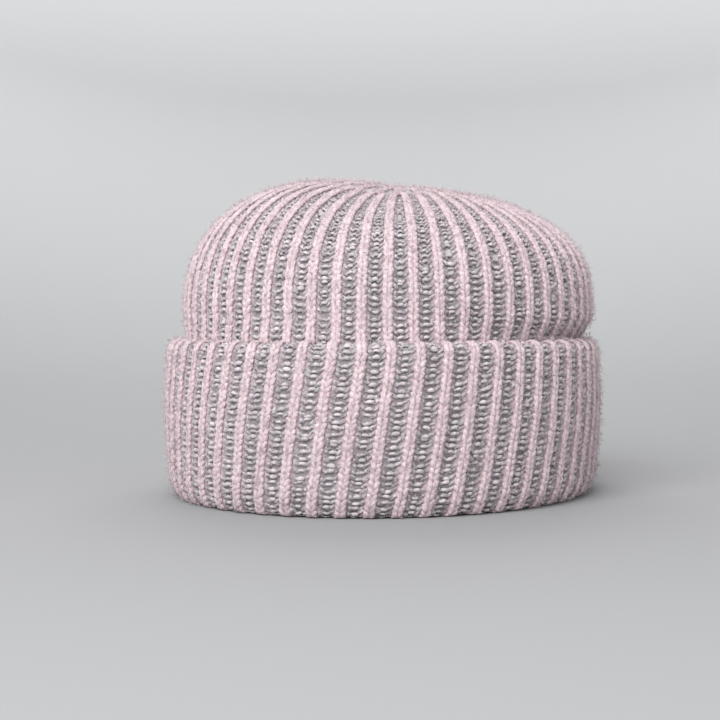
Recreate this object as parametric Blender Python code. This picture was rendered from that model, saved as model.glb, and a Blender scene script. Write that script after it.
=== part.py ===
"""Ribbed cashmere beanie, standing on its rim.

A hollow crown of ribbed knit is gathered to a closed point at the top, and a thick cuff of the same
cloth is turned up round it. The cuff's fold rolls under the rim and meets the crown's lower edge inside.
Metres, +Z up, front towards -Y. The origin is the middle of the rim on the surface that it stands on.
"""

from typing import NamedTuple

import bmesh
import bpy
import numpy as np

# Head opening at the rim, an ellipse
HEAD_HALF_WIDTH = 0.0730
HEAD_HALF_DEPTH = 0.0960

# Heights above the surface
CUFF_HEIGHT = 0.0680
CROWN_HEIGHT = 0.1370
LIP_HEIGHT = 0.0180
FOLD_RISE = 0.0150

# Knit walls, and the gap between the two pieces
CROWN_WALL = 0.0045
CUFF_WALL = 0.0075
FOLD_FLOOR = 0.0055
FIT_GAP = 0.0003

# Width of the rolled fold, from the head opening outwards
FOLD_SIDE = 0.0215
FOLD_FRONT = 0.0185
FOLD_BACK = 0.0170

# How far the cuff's top edge stands outside the head opening
EDGE_SIDE = 0.0220
EDGE_FRONT = 0.0180
EDGE_BACK = 0.0160

# The cuff's face bows out between fold and edge, and the fold is pressed flat where it stands
CUFF_BOW = 0.0012
FLAT_WIDTH = 0.0070

# The crown swells over the cuff, up to its widest level
SWELL_RISE = 0.0120
SWELL_LEFT = 0.0020
SWELL_RIGHT = 0.0060
SWELL_FRONT = -0.0020
SWELL_BACK = 0.0030

# The top stands higher on the left, and the gather sits off the middle of the rim
TOP_LEAN = 0.0065
GATHER_SIDEWAYS = 0.0050
GATHER_BACKWARDS = 0.0040
GATHER_RADIUS = 0.0065
GATHER_DIP = 0.0035

# Ribs run from inside the rim, round the fold and up to the gather
RIB_COUNT = 56
CUFF_RIB_RELIEF = 0.0016
CROWN_RIB_RELIEF = 0.0014
RIB_SIDEWAYS_RUN = 0.0090
DENT_DEPTH = 0.0040

# Half width of a rib's pink ridge, as a share of the rib spacing
CUFF_RIDGE = 0.17
CROWN_RIDGE = 0.25

PINK = (0.80, 0.62, 0.66, 1.0)
GREY = (0.36, 0.35, 0.37, 1.0)
KNIT_ROUGHNESS = 0.95


class Quarters(NamedTuple):
    """A value at each quarter of the hat, blended round it in between."""

    left: float
    right: float
    front: float
    back: float

    def plus(self, step, share=1.0):
        """Add a share of one value, or of another value at each quarter."""
        steps = step if isinstance(step, Quarters) else (step,) * 4
        return Quarters(*(value + share * extra for value, extra in zip(self, steps)))

    def towards(self, other, share):
        """Go a share of the way to another value at each quarter."""
        return self.plus(other.plus(self, -1.0), share)


class RibColumn(NamedTuple):
    """A column of a rib: its place as a share of the spacing, and its height as a share of the relief."""

    place: float
    height: float


class DomeRow(NamedTuple):
    """A ring of the crown's top: its angle from level, and how often the ribs have merged in pairs."""

    angle: float
    merges: int


class Dent(NamedTuple):
    """A soft hollow (or, below zero, a swelling) of the crown, with its depth as a share of DENT_DEPTH."""

    turn: float
    angle: float
    turn_reach: float
    angle_reach: float
    depth: float


# Roundness of the crown's shoulders: 2 is a plain ellipse, and more is squarer
SHOULDERS = Quarters(left=2.25, right=3.10, front=2.45, back=2.70)

OUTER_ROWS = (
    DomeRow(angle=0, merges=0),
    DomeRow(angle=14, merges=0),
    DomeRow(angle=27, merges=0),
    DomeRow(angle=39, merges=0),
    DomeRow(angle=50, merges=0),
    DomeRow(angle=60, merges=1),
    DomeRow(angle=69, merges=1),
    DomeRow(angle=77, merges=2),
    DomeRow(angle=84, merges=2),
    DomeRow(angle=90, merges=2),
)
INNER_ANGLES = (0, 18, 35, 50, 64, 77, 90)

# Turn is degrees from the front towards the right, and angle is degrees up the crown's top
DENTS = (
    Dent(turn=12, angle=60, turn_reach=16, angle_reach=16, depth=0.70),
    Dent(turn=-38, angle=50, turn_reach=26, angle_reach=22, depth=-0.60),
    Dent(turn=75, angle=48, turn_reach=24, angle_reach=20, depth=0.45),
    Dent(turn=150, angle=42, turn_reach=30, angle_reach=20, depth=0.60),
    Dent(turn=-125, angle=56, turn_reach=24, angle_reach=16, depth=0.75),
)

# Both ribs are counted from the middle of their ridge
CUFF_COLUMNS = (
    RibColumn(place=CUFF_RIDGE, height=0.5),
    RibColumn(place=0.27, height=-0.5),
    RibColumn(place=0.73, height=-0.5),
    RibColumn(place=1.0 - CUFF_RIDGE, height=0.5),
)
CROWN_COLUMNS = (
    RibColumn(place=0.0, height=0.5),
    RibColumn(place=CROWN_RIDGE, height=-0.5),
    RibColumn(place=1.0 - CROWN_RIDGE, height=-0.5),
)
PLAIN_COLUMNS = (RibColumn(place=0.0, height=0.0),)

# Steps of the fold's two bends, in degrees from the cuff's face and from the lip
OUTER_BEND = (0, 32, 62)
INNER_BEND = 38
AIR_SPACE_BEND = (160, 115, 65, 20)

FOLD_WIDTH = Quarters(FOLD_SIDE, FOLD_SIDE, FOLD_FRONT, FOLD_BACK)
EDGE_OUT = Quarters(EDGE_SIDE, EDGE_SIDE, EDGE_FRONT, EDGE_BACK)
SWELL = Quarters(SWELL_LEFT, SWELL_RIGHT, SWELL_FRONT, SWELL_BACK)
ARC_SAMPLES = 2880


class Row(NamedTuple):
    """A ring of the cuff or of the crown's side.

    out is the distance outside the head opening, up the height, facing the angle of the surface above
    level in degrees, relief and lean the shares of the ribs' relief and sideways run.
    """

    out: Quarters
    up: float
    facing: float
    relief: float
    lean: float


class Ring(NamedTuple):
    """Vertices of a finished ring, and each one's place round the hat as a share of the whole."""

    verts: list
    shares: np.ndarray


def even(value):
    """The same value at all four quarters."""
    return Quarters(value, value, value, value)


def round_hat(quarters, turn):
    """Blend the four values round the hat by the squares of sine and cosine."""
    across = np.cos(turn)
    along = np.sin(turn)
    side = np.where(across < 0, quarters.left, quarters.right)
    end = np.where(along < 0, quarters.front, quarters.back)
    return side * across**2 + end * along**2


def opening(turn):
    """Points of the head opening's ellipse and its outward directions.

    The ellipse is set back so that the origin is the middle of the cuff.
    """
    set_back = 0.5 * (FOLD_FRONT - FOLD_BACK)
    points = np.stack([HEAD_HALF_WIDTH * np.cos(turn), HEAD_HALF_DEPTH * np.sin(turn) + set_back], axis=1)
    normals = np.stack([np.cos(turn) / HEAD_HALF_WIDTH, np.sin(turn) / HEAD_HALF_DEPTH], axis=1)
    normals /= np.linalg.norm(normals, axis=1)[:, None]
    return points, normals


def outline_lengths():
    """Turns round the hat from the front, and the length of the cuff's outline up to each."""
    turns = np.linspace(-0.5 * np.pi, 1.5 * np.pi, ARC_SAMPLES + 1)
    points, normals = opening(turns)
    points += normals * round_hat(FOLD_WIDTH, turns)[:, None]
    steps = np.linalg.norm(np.diff(points, axis=0), axis=1)
    return turns, np.concatenate([[0.0], np.cumsum(steps)])


TURNS, LENGTHS = outline_lengths()
LEAN = RIB_SIDEWAYS_RUN / LENGTHS[-1]


def turn_at(share):
    """Turn of the ellipse at a share of the outline, so that the ribs are evenly spaced."""
    return np.interp(np.mod(share, 1.0) * LENGTHS[-1], LENGTHS, TURNS)


def rib_count(merges):
    """How many ribs are left when they have merged in pairs so many times."""
    return max(4, round(RIB_COUNT / 2**merges))


def first_ridge(merges):
    """Place of the first ridge, as a share of the outline; a merged rib runs midway between its pair."""
    return 0.5 * (2**merges - 1) / RIB_COUNT


def rib_places(columns, merges):
    """Places of all columns as shares of the outline."""
    ribs = rib_count(merges)
    places = np.array([column.place for column in columns])
    return (np.arange(ribs)[:, None] + places[None, :]).ravel() / ribs + first_ridge(merges)


def rib_heights(columns, merges, relief):
    """Heights of all columns over the middle of the relief."""
    return np.tile([column.height * relief for column in columns], rib_count(merges))


def side_points(shares, row, relief):
    """Points of a ring: outwards from the head opening, raised along the surface's direction."""
    turn = turn_at(shares + LEAN * row.lean)
    points, normals = opening(turn)
    facing = np.radians(row.facing)
    out = round_hat(row.out, turn) + relief * row.relief * np.cos(facing)
    height = row.up + relief * row.relief * np.sin(facing)
    return np.column_stack([points + normals * out[:, None], np.broadcast_to(height, turn.shape)])


def dent_depth(turn, angle):
    """Depth of all dents together, each a bell curve round the hat and up the crown's top."""
    total = np.zeros_like(turn)
    from_front = np.degrees(turn) + 90.0
    for dent in DENTS:
        apart = np.mod(from_front - dent.turn + 180.0, 360.0) - 180.0
        bell = (apart / dent.turn_reach) ** 2 + ((angle - dent.angle) / dent.angle_reach) ** 2
        total += dent.depth * DENT_DEPTH * np.exp(-0.5 * bell)
    return total


def dome_points(shares, angle, inset, relief):
    """Points of the crown's top: a superellipse over the crown's widest ring, drawn in to the gather."""
    turn = turn_at(shares + LEAN)
    points, normals = opening(turn)
    out = round_hat(widest_out(), turn) - inset
    power = 2.0 / round_hat(SHOULDERS, turn)
    rise = np.radians(angle)
    narrow = np.cos(rise) ** power if angle < 90 else np.zeros_like(turn)
    climb = np.sin(rise) ** power
    rim = points + normals * out[:, None]
    gather = rim * (GATHER_RADIUS / np.linalg.norm(rim, axis=1))[:, None]
    middle = np.array([GATHER_SIDEWAYS, GATHER_BACKWARDS])
    flat = gather + middle + (rim - gather - middle) * narrow[:, None]
    top = CROWN_HEIGHT - inset - CUFF_HEIGHT - SWELL_RISE
    height = CUFF_HEIGHT + SWELL_RISE + top * climb - TOP_LEAN * climb * flat[:, 0] / HEAD_HALF_WIDTH
    push = relief - dent_depth(turn, angle)
    flat = flat + normals * (push * np.cos(rise))[:, None]
    return np.column_stack([flat, height + push * np.sin(rise)])


def neck_out():
    """Distance of the crown's outside from the head opening where the cuff's top edge holds it."""
    return EDGE_OUT.plus(-CUFF_WALL - FIT_GAP - 0.5 * CROWN_RIB_RELIEF)


def widest_out():
    """Distance of the crown's widest ring from the head opening."""
    return neck_out().plus(SWELL)


def neck_height():
    """Height at which the cuff's rounded top edge starts on its inner side."""
    return CUFF_HEIGHT - 0.5 * CUFF_WALL


def gather_point(inset):
    """The closed point at the middle of the gather, on the outside or inset from it."""
    return (GATHER_SIDEWAYS, GATHER_BACKWARDS, CROWN_HEIGHT - GATHER_DIP - inset)


def add_ring(mesh, points, shares):
    """Add a ring of vertices to the mesh."""
    return Ring([mesh.verts.new(point) for point in points], shares)


def bridge(mesh, first, second, merges, ridge):
    """Join two rings with triangles or quads, stepping along whichever comes next round the hat.

    Faces on a ridge, of the ribs left after so many merges, take the first material, and others the second.
    """
    a_count = len(first.verts)
    b_count = len(second.verts)
    a_next = np.append(first.shares[1:], first.shares[0] + 1.0)
    b_next = np.append(second.shares[1:], second.shares[0] + 1.0)
    a = 0
    b = 0
    while a < a_count or b < b_count:
        step_a = a < a_count and (b == b_count or a_next[a] <= b_next[b] + 1e-9)
        step_b = b < b_count and (a == a_count or b_next[b] <= a_next[a] + 1e-9)
        corners = [first.verts[a % a_count]]
        if step_a:
            corners.append(first.verts[(a + 1) % a_count])
            place = 0.5 * (first.shares[a] + a_next[a])
        if step_b:
            corners.append(second.verts[(b + 1) % b_count])
            place = 0.5 * (second.shares[b] + b_next[b])
        corners.append(second.verts[b % b_count])
        face = mesh.faces.new(corners)
        off_ridge = np.mod((place - first_ridge(merges)) * rib_count(merges) + 0.5, 1.0) - 0.5
        face.material_index = 0 if abs(off_ridge) < ridge else 1
        a += step_a
        b += step_b


def close_ring(mesh, ring, point):
    """Close a ring with a fan of triangles to one point."""
    tip = mesh.verts.new(point)
    count = len(ring.verts)
    for index in range(count):
        mesh.faces.new([ring.verts[index], ring.verts[(index + 1) % count], tip])


def knit_object(name, mesh):
    """Make an object of the finished mesh, with the two colours of the knit."""
    bmesh.ops.recalc_face_normals(mesh, faces=mesh.faces)
    data = bpy.data.meshes.new(name)
    mesh.to_mesh(data)
    mesh.free()
    data.materials.append(knit_material(name + "_pink", PINK))
    data.materials.append(knit_material(name + "_grey", GREY))
    data.shade_smooth()
    data.set_sharp_from_angle(angle=np.radians(50.0))
    piece = bpy.data.objects.new(name, data)
    bpy.context.scene.collection.objects.link(piece)
    return piece


def knit_material(name, colour):
    """Soft dull knit of one colour."""
    material = bpy.data.materials.new(name)
    material.use_nodes = True
    shader = material.node_tree.nodes["Principled BSDF"]
    shader.inputs["Base Color"].default_value = colour
    shader.inputs["Roughness"].default_value = KNIT_ROUGHNESS
    shader.inputs["Metallic"].default_value = 0.0
    material.diffuse_color = colour
    return material


def bend_row(corner, wall, degrees, relief, lean):
    """A row of the fold's rounding, a quarter of an ellipse from its flat's corner up to a wall."""
    bend = np.radians(degrees)
    up = FOLD_RISE * (1.0 - np.sin(bend))
    inwards = wall[0] < corner[0]
    facing = 180 + degrees if inwards else -degrees
    return Row(corner.towards(wall, np.cos(bend)), up, facing, relief, lean * up / CUFF_HEIGHT)


def cuff_face_rows():
    """Rows of the cuff's ribbed skin, from the inner side of its top edge round the fold to the lip."""
    half_wall = 0.5 * CUFF_WALL
    middle_height = 0.5 * (neck_height() + FOLD_RISE)
    middle = EDGE_OUT.towards(FOLD_WIDTH, 0.5).plus(CUFF_BOW)
    lip = even(0.0)
    outer_corner = lip.towards(FOLD_WIDTH, 0.5).plus(0.5 * FLAT_WIDTH)
    inner_corner = lip.towards(FOLD_WIDTH, 0.5).plus(-0.5 * FLAT_WIDTH)
    rows = [
        Row(EDGE_OUT.plus(-CUFF_WALL), neck_height(), 180, 0.0, 1.0),
        Row(EDGE_OUT.plus(-half_wall), CUFF_HEIGHT, 90, 0.25, 1.0),
        Row(EDGE_OUT, neck_height(), 0, 1.0, 1.0),
        Row(middle, middle_height, 0, 1.0, middle_height / CUFF_HEIGHT),
    ]
    rows += [bend_row(outer_corner, FOLD_WIDTH, step, np.cos(np.radians(step)), 1.0) for step in OUTER_BEND]
    rows += [Row(corner, 0.0, -90, 0.0, 0.0) for corner in (outer_corner, inner_corner)]
    rows.append(bend_row(inner_corner, lip, INNER_BEND, 0.5, 0.0))
    rows.append(Row(lip, LIP_HEIGHT, 180, 0.0, 0.0))
    return rows


def cuff_lining_rows():
    """Plain rows of the air space inside the fold, from the lip down and up to the top edge."""
    lip = even(CROWN_WALL)
    far = FOLD_WIDTH.plus(-CUFF_WALL)
    middle = lip.towards(far, 0.5)
    rows = [Row(lip, LIP_HEIGHT, 0, 0.0, 0.0)]
    for step in AIR_SPACE_BEND:
        bend = np.radians(step)
        up = FOLD_RISE - (FOLD_RISE - FOLD_FLOOR) * np.sin(bend)
        rows.append(Row(middle.towards(far, np.cos(bend)), up, 0, 0.0, 1.0 - step / 180.0))
    edge = EDGE_OUT.plus(-CUFF_WALL)
    rows.append(Row(far.towards(edge, 0.5), 0.5 * (neck_height() + FOLD_RISE), 0, 0.0, 1.0))
    return rows


def side_ring(mesh, row, columns, relief):
    """Add a ring of the cuff or of the crown's side."""
    places = rib_places(columns, 0)
    return add_ring(mesh, side_points(places, row, rib_heights(columns, 0, relief)), places)


def dome_ring(mesh, angle, merges, inset, columns, relief):
    """Add a ring of the crown's top."""
    places = rib_places(columns, merges)
    return add_ring(mesh, dome_points(places, angle, inset, rib_heights(columns, merges, relief)), places)


def build_cuff():
    """The turned-up edge: one closed band whose section is a hook round the rim."""
    mesh = bmesh.new()
    face = [side_ring(mesh, row, CUFF_COLUMNS, CUFF_RIB_RELIEF) for row in cuff_face_rows()]
    lining = [side_ring(mesh, row, PLAIN_COLUMNS, 0.0) for row in cuff_lining_rows()]
    rings = face + lining + [face[0]]
    for first, second in zip(rings, rings[1:]):
        bridge(mesh, first, second, 0, CUFF_RIDGE)
    return knit_object("cuff", mesh)


def crown_side_rows():
    """Rows of the crown's outside from its lower edge, under the cuff, to just over the cuff's edge."""
    return [
        Row(even(CROWN_WALL), LIP_HEIGHT + FIT_GAP, 0, 0.0, 1.0),
        Row(neck_out(), neck_height(), 0, 1.0, 1.0),
        Row(neck_out().plus(SWELL, 0.12), CUFF_HEIGHT + 0.15 * SWELL_RISE, 0, 1.0, 1.0),
    ]


def crown_lining_rows():
    """Plain rows of the crown's inside, from its lower edge to where the cuff's edge holds it."""
    return [
        Row(even(0.0), LIP_HEIGHT + FIT_GAP, 0, 0.0, 1.0),
        Row(neck_out().plus(-CROWN_WALL), neck_height(), 0, 0.0, 1.0),
    ]


def build_crown():
    """The hollow crown: a ribbed outside and a plain inside, joined round the lower edge."""
    mesh = bmesh.new()
    outside = [side_ring(mesh, row, CROWN_COLUMNS, CROWN_RIB_RELIEF) for row in crown_side_rows()]
    merges = [0] * len(outside)
    for row in OUTER_ROWS:
        outside.append(dome_ring(mesh, row.angle, row.merges, 0.0, CROWN_COLUMNS, CROWN_RIB_RELIEF))
        merges.append(row.merges)
    for first, second, merged in zip(outside, outside[1:], merges[1:]):
        bridge(mesh, first, second, merged, CROWN_RIDGE)
    close_ring(mesh, outside[-1], gather_point(0.0))

    inside = [side_ring(mesh, row, PLAIN_COLUMNS, 0.0) for row in crown_lining_rows()]
    inside += [dome_ring(mesh, angle, 0, CROWN_WALL, PLAIN_COLUMNS, 0.0) for angle in INNER_ANGLES]
    for first, second in zip(inside, inside[1:]):
        bridge(mesh, first, second, 0, CROWN_RIDGE)
    close_ring(mesh, inside[-1], gather_point(CROWN_WALL))
    bridge(mesh, outside[0], inside[0], 0, CROWN_RIDGE)
    return knit_object("crown", mesh)


def main():
    for piece in list(bpy.data.objects):
        bpy.data.objects.remove(piece, do_unlink=True)
    build_crown()
    build_cuff()


main()
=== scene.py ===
"""Looks of the ribbed cashmere beanie: its stitches in two yarns, the cloth behind them and soft fibres.

The cloth repeats the CAD's section from the same named sizes. Each stitch is a short bent length of yarn,
laid on that cloth in its own small measures: across the rib, along it, and out from the cloth.
Metres, +Z up, front towards -Y.
"""

import logging
from abc import ABC, abstractmethod
from dataclasses import dataclass, field
from enum import Enum
from typing import NamedTuple

import bpy
import numpy as np
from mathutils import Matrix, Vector


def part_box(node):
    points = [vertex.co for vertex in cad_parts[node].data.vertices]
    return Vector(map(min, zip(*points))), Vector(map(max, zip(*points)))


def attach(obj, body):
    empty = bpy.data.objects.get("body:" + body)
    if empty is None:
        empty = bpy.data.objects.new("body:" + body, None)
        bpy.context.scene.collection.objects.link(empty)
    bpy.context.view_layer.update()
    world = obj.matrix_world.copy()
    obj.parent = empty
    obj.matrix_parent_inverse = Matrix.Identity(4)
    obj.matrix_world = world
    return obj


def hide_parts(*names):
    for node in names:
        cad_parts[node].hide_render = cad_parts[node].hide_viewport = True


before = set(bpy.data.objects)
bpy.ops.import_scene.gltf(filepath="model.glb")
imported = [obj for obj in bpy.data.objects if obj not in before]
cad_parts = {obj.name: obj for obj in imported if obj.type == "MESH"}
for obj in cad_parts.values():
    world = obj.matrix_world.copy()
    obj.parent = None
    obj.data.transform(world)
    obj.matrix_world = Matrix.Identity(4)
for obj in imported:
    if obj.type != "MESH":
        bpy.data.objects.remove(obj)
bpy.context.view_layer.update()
SEED = 1356
MM = 0.001

# Each piece has a map in millimetres for its finish, and a bake map between 0 and 1. On the
# first each yarn starts at a place of its own within MAP_STARTS, and on the second it has a square cell.
YARN_MAP = "Yarn"
BAKE_MAP = "OFBake"
MAP_STARTS = 60.0
CELL_MARGIN = 0.08

OUTWARDS = np.array([0.0, 0.0, 1.0])

Colour = tuple[float, float, float, float]
Socket = bpy.types.NodeSocket
Feed = float | Colour | Socket

log = logging.getLogger("beanie")


class Yarn(Enum):
    """The two yarns, by the record's material slots."""

    PINK = "pink_yarn"
    GREY = "grey_yarn"


class Quarters(NamedTuple):
    """A value at each quarter of the hat, blended round it in between."""

    left: float
    right: float
    front: float
    back: float

    def plus(self, step: "float | Quarters", share: float = 1.0) -> "Quarters":
        """Add a share of one value, or of another value at each quarter."""
        steps = step if isinstance(step, Quarters) else (step,) * 4
        return Quarters(*(value + share * extra for value, extra in zip(self, steps)))

    def towards(self, other: "Quarters", share: float) -> "Quarters":
        """Go a share of the way to another value at each quarter."""
        return self.plus(other.plus(self, -1.0), share)


class Dent(NamedTuple):
    """A soft hollow (or, below zero, a swelling) of the crown, with its depth as a share of dent_depth."""

    turn: float
    angle: float
    turn_reach: float
    angle_reach: float
    depth: float


# The CAD's dents: turn is degrees from the front towards the right, and angle is degrees up the top
DENTS = (
    Dent(turn=12, angle=60, turn_reach=16, angle_reach=16, depth=0.70),
    Dent(turn=-38, angle=50, turn_reach=26, angle_reach=22, depth=-0.60),
    Dent(turn=75, angle=48, turn_reach=24, angle_reach=20, depth=0.45),
    Dent(turn=150, angle=42, turn_reach=30, angle_reach=20, depth=0.60),
    Dent(turn=-125, angle=56, turn_reach=24, angle_reach=16, depth=0.75),
)


def even(value: float) -> Quarters:
    """The same value at all four quarters."""
    return Quarters(value, value, value, value)


def spread(first: Quarters, second: Quarters, share: np.ndarray) -> np.ndarray:
    """Stations by quarters: the first values, plus each station's share of the way to the second."""
    start = np.array(first)
    return start + (np.array(second) - start) * np.asarray(share)[:, None]


def ease(share: np.ndarray) -> np.ndarray:
    """A smooth step from 0 to 1: 3 s^2 - 2 s^3, level outside that range."""
    clipped = np.clip(share, 0.0, 1.0)
    return clipped**2 * (3.0 - 2.0 * clipped)


def unit(vectors: np.ndarray) -> np.ndarray:
    """Vectors made one long; a vector with no length stays as it is."""
    lengths = np.linalg.norm(vectors, axis=-1, keepdims=True)
    return vectors / np.maximum(lengths, 1e-12)


def square_to(forwards: np.ndarray) -> tuple[np.ndarray, np.ndarray]:
    """Unit directions square to others, in a stitch's own measures: level with the cloth, and out from it."""
    sideways = unit(np.cross(forwards, OUTWARDS))
    return sideways, np.cross(sideways, forwards)


@dataclass(frozen=True)
class HatForm:
    """Sizes of the hat's form, as in the CAD, and the lines of its section.

    The four driving sizes come from the frame's boxes, and those down to dent_depth are the CAD's own named
    values. The cuff's box holds half of rib_relief all round, and edge_relief of that half at the top;
    crown_rise is how far the ribs and the lean lift the crown's box. The last four are for the lines:
    outline_points measure the cuff's outline, swell_power and crowding are the powers of the swell and of
    the top's stations, and gather_reach is how far the gather's lines run towards its middle.
    """

    half_width: float
    half_depth: float
    cuff_height: float
    crown_height: float
    lip_height: float = 0.0180
    fold_rise: float = 0.0150
    fold_floor: float = 0.0055
    crown_wall: float = 0.0045
    cuff_wall: float = 0.0075
    crown_gap: float = 0.0010
    fold: Quarters = Quarters(0.0215, 0.0215, 0.0185, 0.0170)
    edge: Quarters = Quarters(0.0220, 0.0220, 0.0180, 0.0160)
    bow: float = 0.0012
    flat_width: float = 0.0070
    swell_rise: float = 0.0120
    swell: Quarters = Quarters(0.0020, 0.0060, -0.0020, 0.0030)
    shoulders: Quarters = Quarters(2.25, 3.10, 2.45, 2.70)
    top_lean: float = 0.0065
    gather_middle: tuple[float, float] = (0.0050, 0.0040)
    gather_radius: float = 0.0065
    gather_dip: float = 0.0035
    rib_run: float = 0.0090
    rib_relief: float = 0.0016
    dent_depth: float = 0.0040
    edge_relief: float = 0.25
    crown_rise: float = 0.0019
    outline_points: int = 2881
    swell_power: float = 1.6
    crowding: float = 1.35
    gather_reach: float = 0.88

    @classmethod
    def from_frame(cls) -> "HatForm":
        """Work out the driving sizes from the boxes of the CAD's cuff and crown.

        The cuff is widest half way up its face. There it stands outside the head opening by the mean of
        fold and edge, the bow, and half of the ribs' relief.

        Returns:
            The form whose cuff and crown fill those boxes.
        """
        cuff_low, cuff_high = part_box("cuff")
        _, crown_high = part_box("crown")
        relief = 0.5 * cls.rib_relief
        sides = 2.0 * (0.5 * (cls.edge.right + cls.fold.right) + cls.bow + relief)
        ends = cls.edge.front + cls.fold.front + cls.edge.back + cls.fold.back
        return cls(
            half_width=0.5 * (cuff_high.x - cuff_low.x - sides),
            half_depth=0.5 * (cuff_high.y - cuff_low.y - 0.5 * ends - 2.0 * (cls.bow + relief)),
            cuff_height=cuff_high.z - cls.edge_relief * relief,
            crown_height=crown_high.z - cls.crown_rise,
        )

    @property
    def neck_height(self) -> float:
        """Height at which the cuff's rounded top edge starts."""
        return self.cuff_height - 0.5 * self.cuff_wall

    @property
    def neck_out(self) -> Quarters:
        """Distance of the crown's outside from the head opening where the cuff's edge holds it."""
        return self.edge.plus(-self.cuff_wall - self.crown_gap)

    @property
    def widest_height(self) -> float:
        """Height of the crown's widest level."""
        return self.cuff_height + self.swell_rise

    def round_hat(self, values: np.ndarray, turn: np.ndarray) -> np.ndarray:
        """Blend values at the four quarters by the squares of sine and cosine of the turn.

        Args:
            values: four values, or stations by four values that the turns pair with.
            turn: turns round the ellipse, in radians.

        Returns:
            The blended values, in the shape of turn.
        """
        across, along = np.cos(turn), np.sin(turn)
        sides = [across**2 * (across < 0), across**2 * (across >= 0)]
        ends = [along**2 * (along < 0), along**2 * (along >= 0)]
        return (np.stack(sides + ends, axis=-1) * np.asarray(values)).sum(axis=-1)

    def opening(self, turn: np.ndarray) -> tuple[np.ndarray, np.ndarray]:
        """Points of the head opening's ellipse and its outward directions.

        Args:
            turn: turns round the ellipse, in radians.

        Returns:
            Points and unit directions in plan, each with a last axis of x and y.
        """
        across, along = np.cos(turn), np.sin(turn)
        set_back = 0.5 * (self.fold.front - self.fold.back)
        points = np.stack([self.half_width * across, self.half_depth * along + set_back], axis=-1)
        normals = np.stack([across / self.half_width, along / self.half_depth], axis=-1)
        return points, unit(normals)

    def turn_at(self, share: np.ndarray, lean: np.ndarray | float) -> np.ndarray:
        """Turn of the ellipse at a share of the cuff's outline, counted from the front towards the right.

        Args:
            share: shares of the outline, so that the ribs are evenly spaced.
            lean: how much of the ribs' sideways run is reached.

        Returns:
            Turns in radians.
        """
        turns = np.linspace(-0.5 * np.pi, 1.5 * np.pi, self.outline_points)
        points, normals = self.opening(turns)
        points = points + normals * self.round_hat(np.array(self.fold), turns)[:, None]
        lengths = np.concatenate([[0.0], np.cumsum(np.linalg.norm(np.diff(points, axis=0), axis=1))])
        moved = np.mod(share + lean * self.rib_run / lengths[-1], 1.0)
        return np.interp(moved * lengths[-1], lengths, turns)

    def band(self, share: np.ndarray, outs: np.ndarray, ups: np.ndarray, lean: np.ndarray) -> np.ndarray:
        """Points of a band round the hat: the opening plus its outward direction times a distance.

        Args:
            share: places round the hat.
            outs: stations by quarters, the distance outside the head opening.
            ups: heights of the stations.
            lean: share of the ribs' sideways run at each station.

        Returns:
            Points, round the hat by stations.
        """
        turn = self.turn_at(share[:, None], lean[None, :])
        points, normals = self.opening(turn)
        flat = points + normals * self.round_hat(outs, turn)[..., None]
        return np.concatenate([flat, np.broadcast_to(ups, turn.shape)[..., None]], axis=-1)

    def corners(self) -> tuple[Quarters, Quarters]:
        """Inner and outer corner of the fold's flat ring, as distances outside the head opening."""
        middle = even(0.0).towards(self.fold, 0.5)
        return middle.plus(-0.5 * self.flat_width), middle.plus(0.5 * self.flat_width)

    def cuff_skin(self, share: np.ndarray, steps: int) -> np.ndarray:
        """Outside of the cuff, from the lip inside the rim round the fold, up the face and over the edge.

        The lip is straight, each bend a quarter of an ellipse, the flat level, the face a line with a
        sine's bow, and the top edge a half circle. Outside the flat the ribs run sideways as they climb.

        Args:
            share: places round the hat.
            steps: stations on each of the six stretches.

        Returns:
            Points, round the hat by stations.
        """
        lip, (inner, outer) = even(0.0), self.corners()
        way = np.linspace(0.0, 1.0, steps)
        bend = 0.5 * np.pi * way
        face = spread(self.fold, self.edge, way) + self.bow * np.sin(np.pi * way)[:, None]
        top = spread(self.edge.plus(-self.cuff_wall), self.edge, 0.5 + 0.5 * np.cos(np.pi * way))
        stretches = [
            (spread(lip, lip, way), self.lip_height + (self.fold_rise - self.lip_height) * way),
            (spread(inner, lip, np.cos(bend)), self.fold_rise * (1.0 - np.sin(bend))),
            (spread(inner, outer, way), np.zeros(steps)),
            (spread(outer, self.fold, np.sin(bend)), self.fold_rise * (1.0 - np.cos(bend))),
            (face, self.fold_rise + (self.neck_height - self.fold_rise) * way),
            (top, self.neck_height + 0.5 * self.cuff_wall * np.sin(np.pi * way)),
        ]
        outs = np.concatenate([out[1:] for out, _ in stretches])
        ups = np.concatenate([up[1:] for _, up in stretches])
        outer_part = np.arange(len(ups)) >= 3 * (steps - 1)
        lean = np.clip(ups / self.neck_height, 0.0, 1.0) * outer_part
        return self.band(share, outs, ups, lean)

    def cuff_lining(self, share: np.ndarray, steps: int) -> np.ndarray:
        """Inner side of the cuff's wall: a line down from its top edge, and the fold's air space.

        The air space is an arch of a cosine sideways and a sine downwards, whose end climbs to the lip with
        the fourth power of the way.

        Args:
            share: places round the hat.
            steps: stations on each of the two stretches.

        Returns:
            Points, round the hat by stations.
        """
        near, far = even(self.crown_wall), self.fold.plus(-self.cuff_wall)
        way = np.linspace(0.0, 1.0, steps)
        down = spread(self.edge.plus(-self.cuff_wall), far, way)
        arch = spread(near, far, 0.5 + 0.5 * np.cos(np.pi * way))
        low = self.fold_rise - (self.fold_rise - self.fold_floor) * np.sin(np.pi * way)
        low = low + (self.lip_height - self.fold_rise) * way**4
        high = self.neck_height + (self.fold_rise - self.neck_height) * way
        lean = np.concatenate([np.ones(steps - 1), 1.0 - way[1:]])
        outs = np.concatenate([down[1:], arch[1:]])
        ups = np.concatenate([high[1:], low[1:]])
        return self.band(share, outs, ups, lean)

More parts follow.
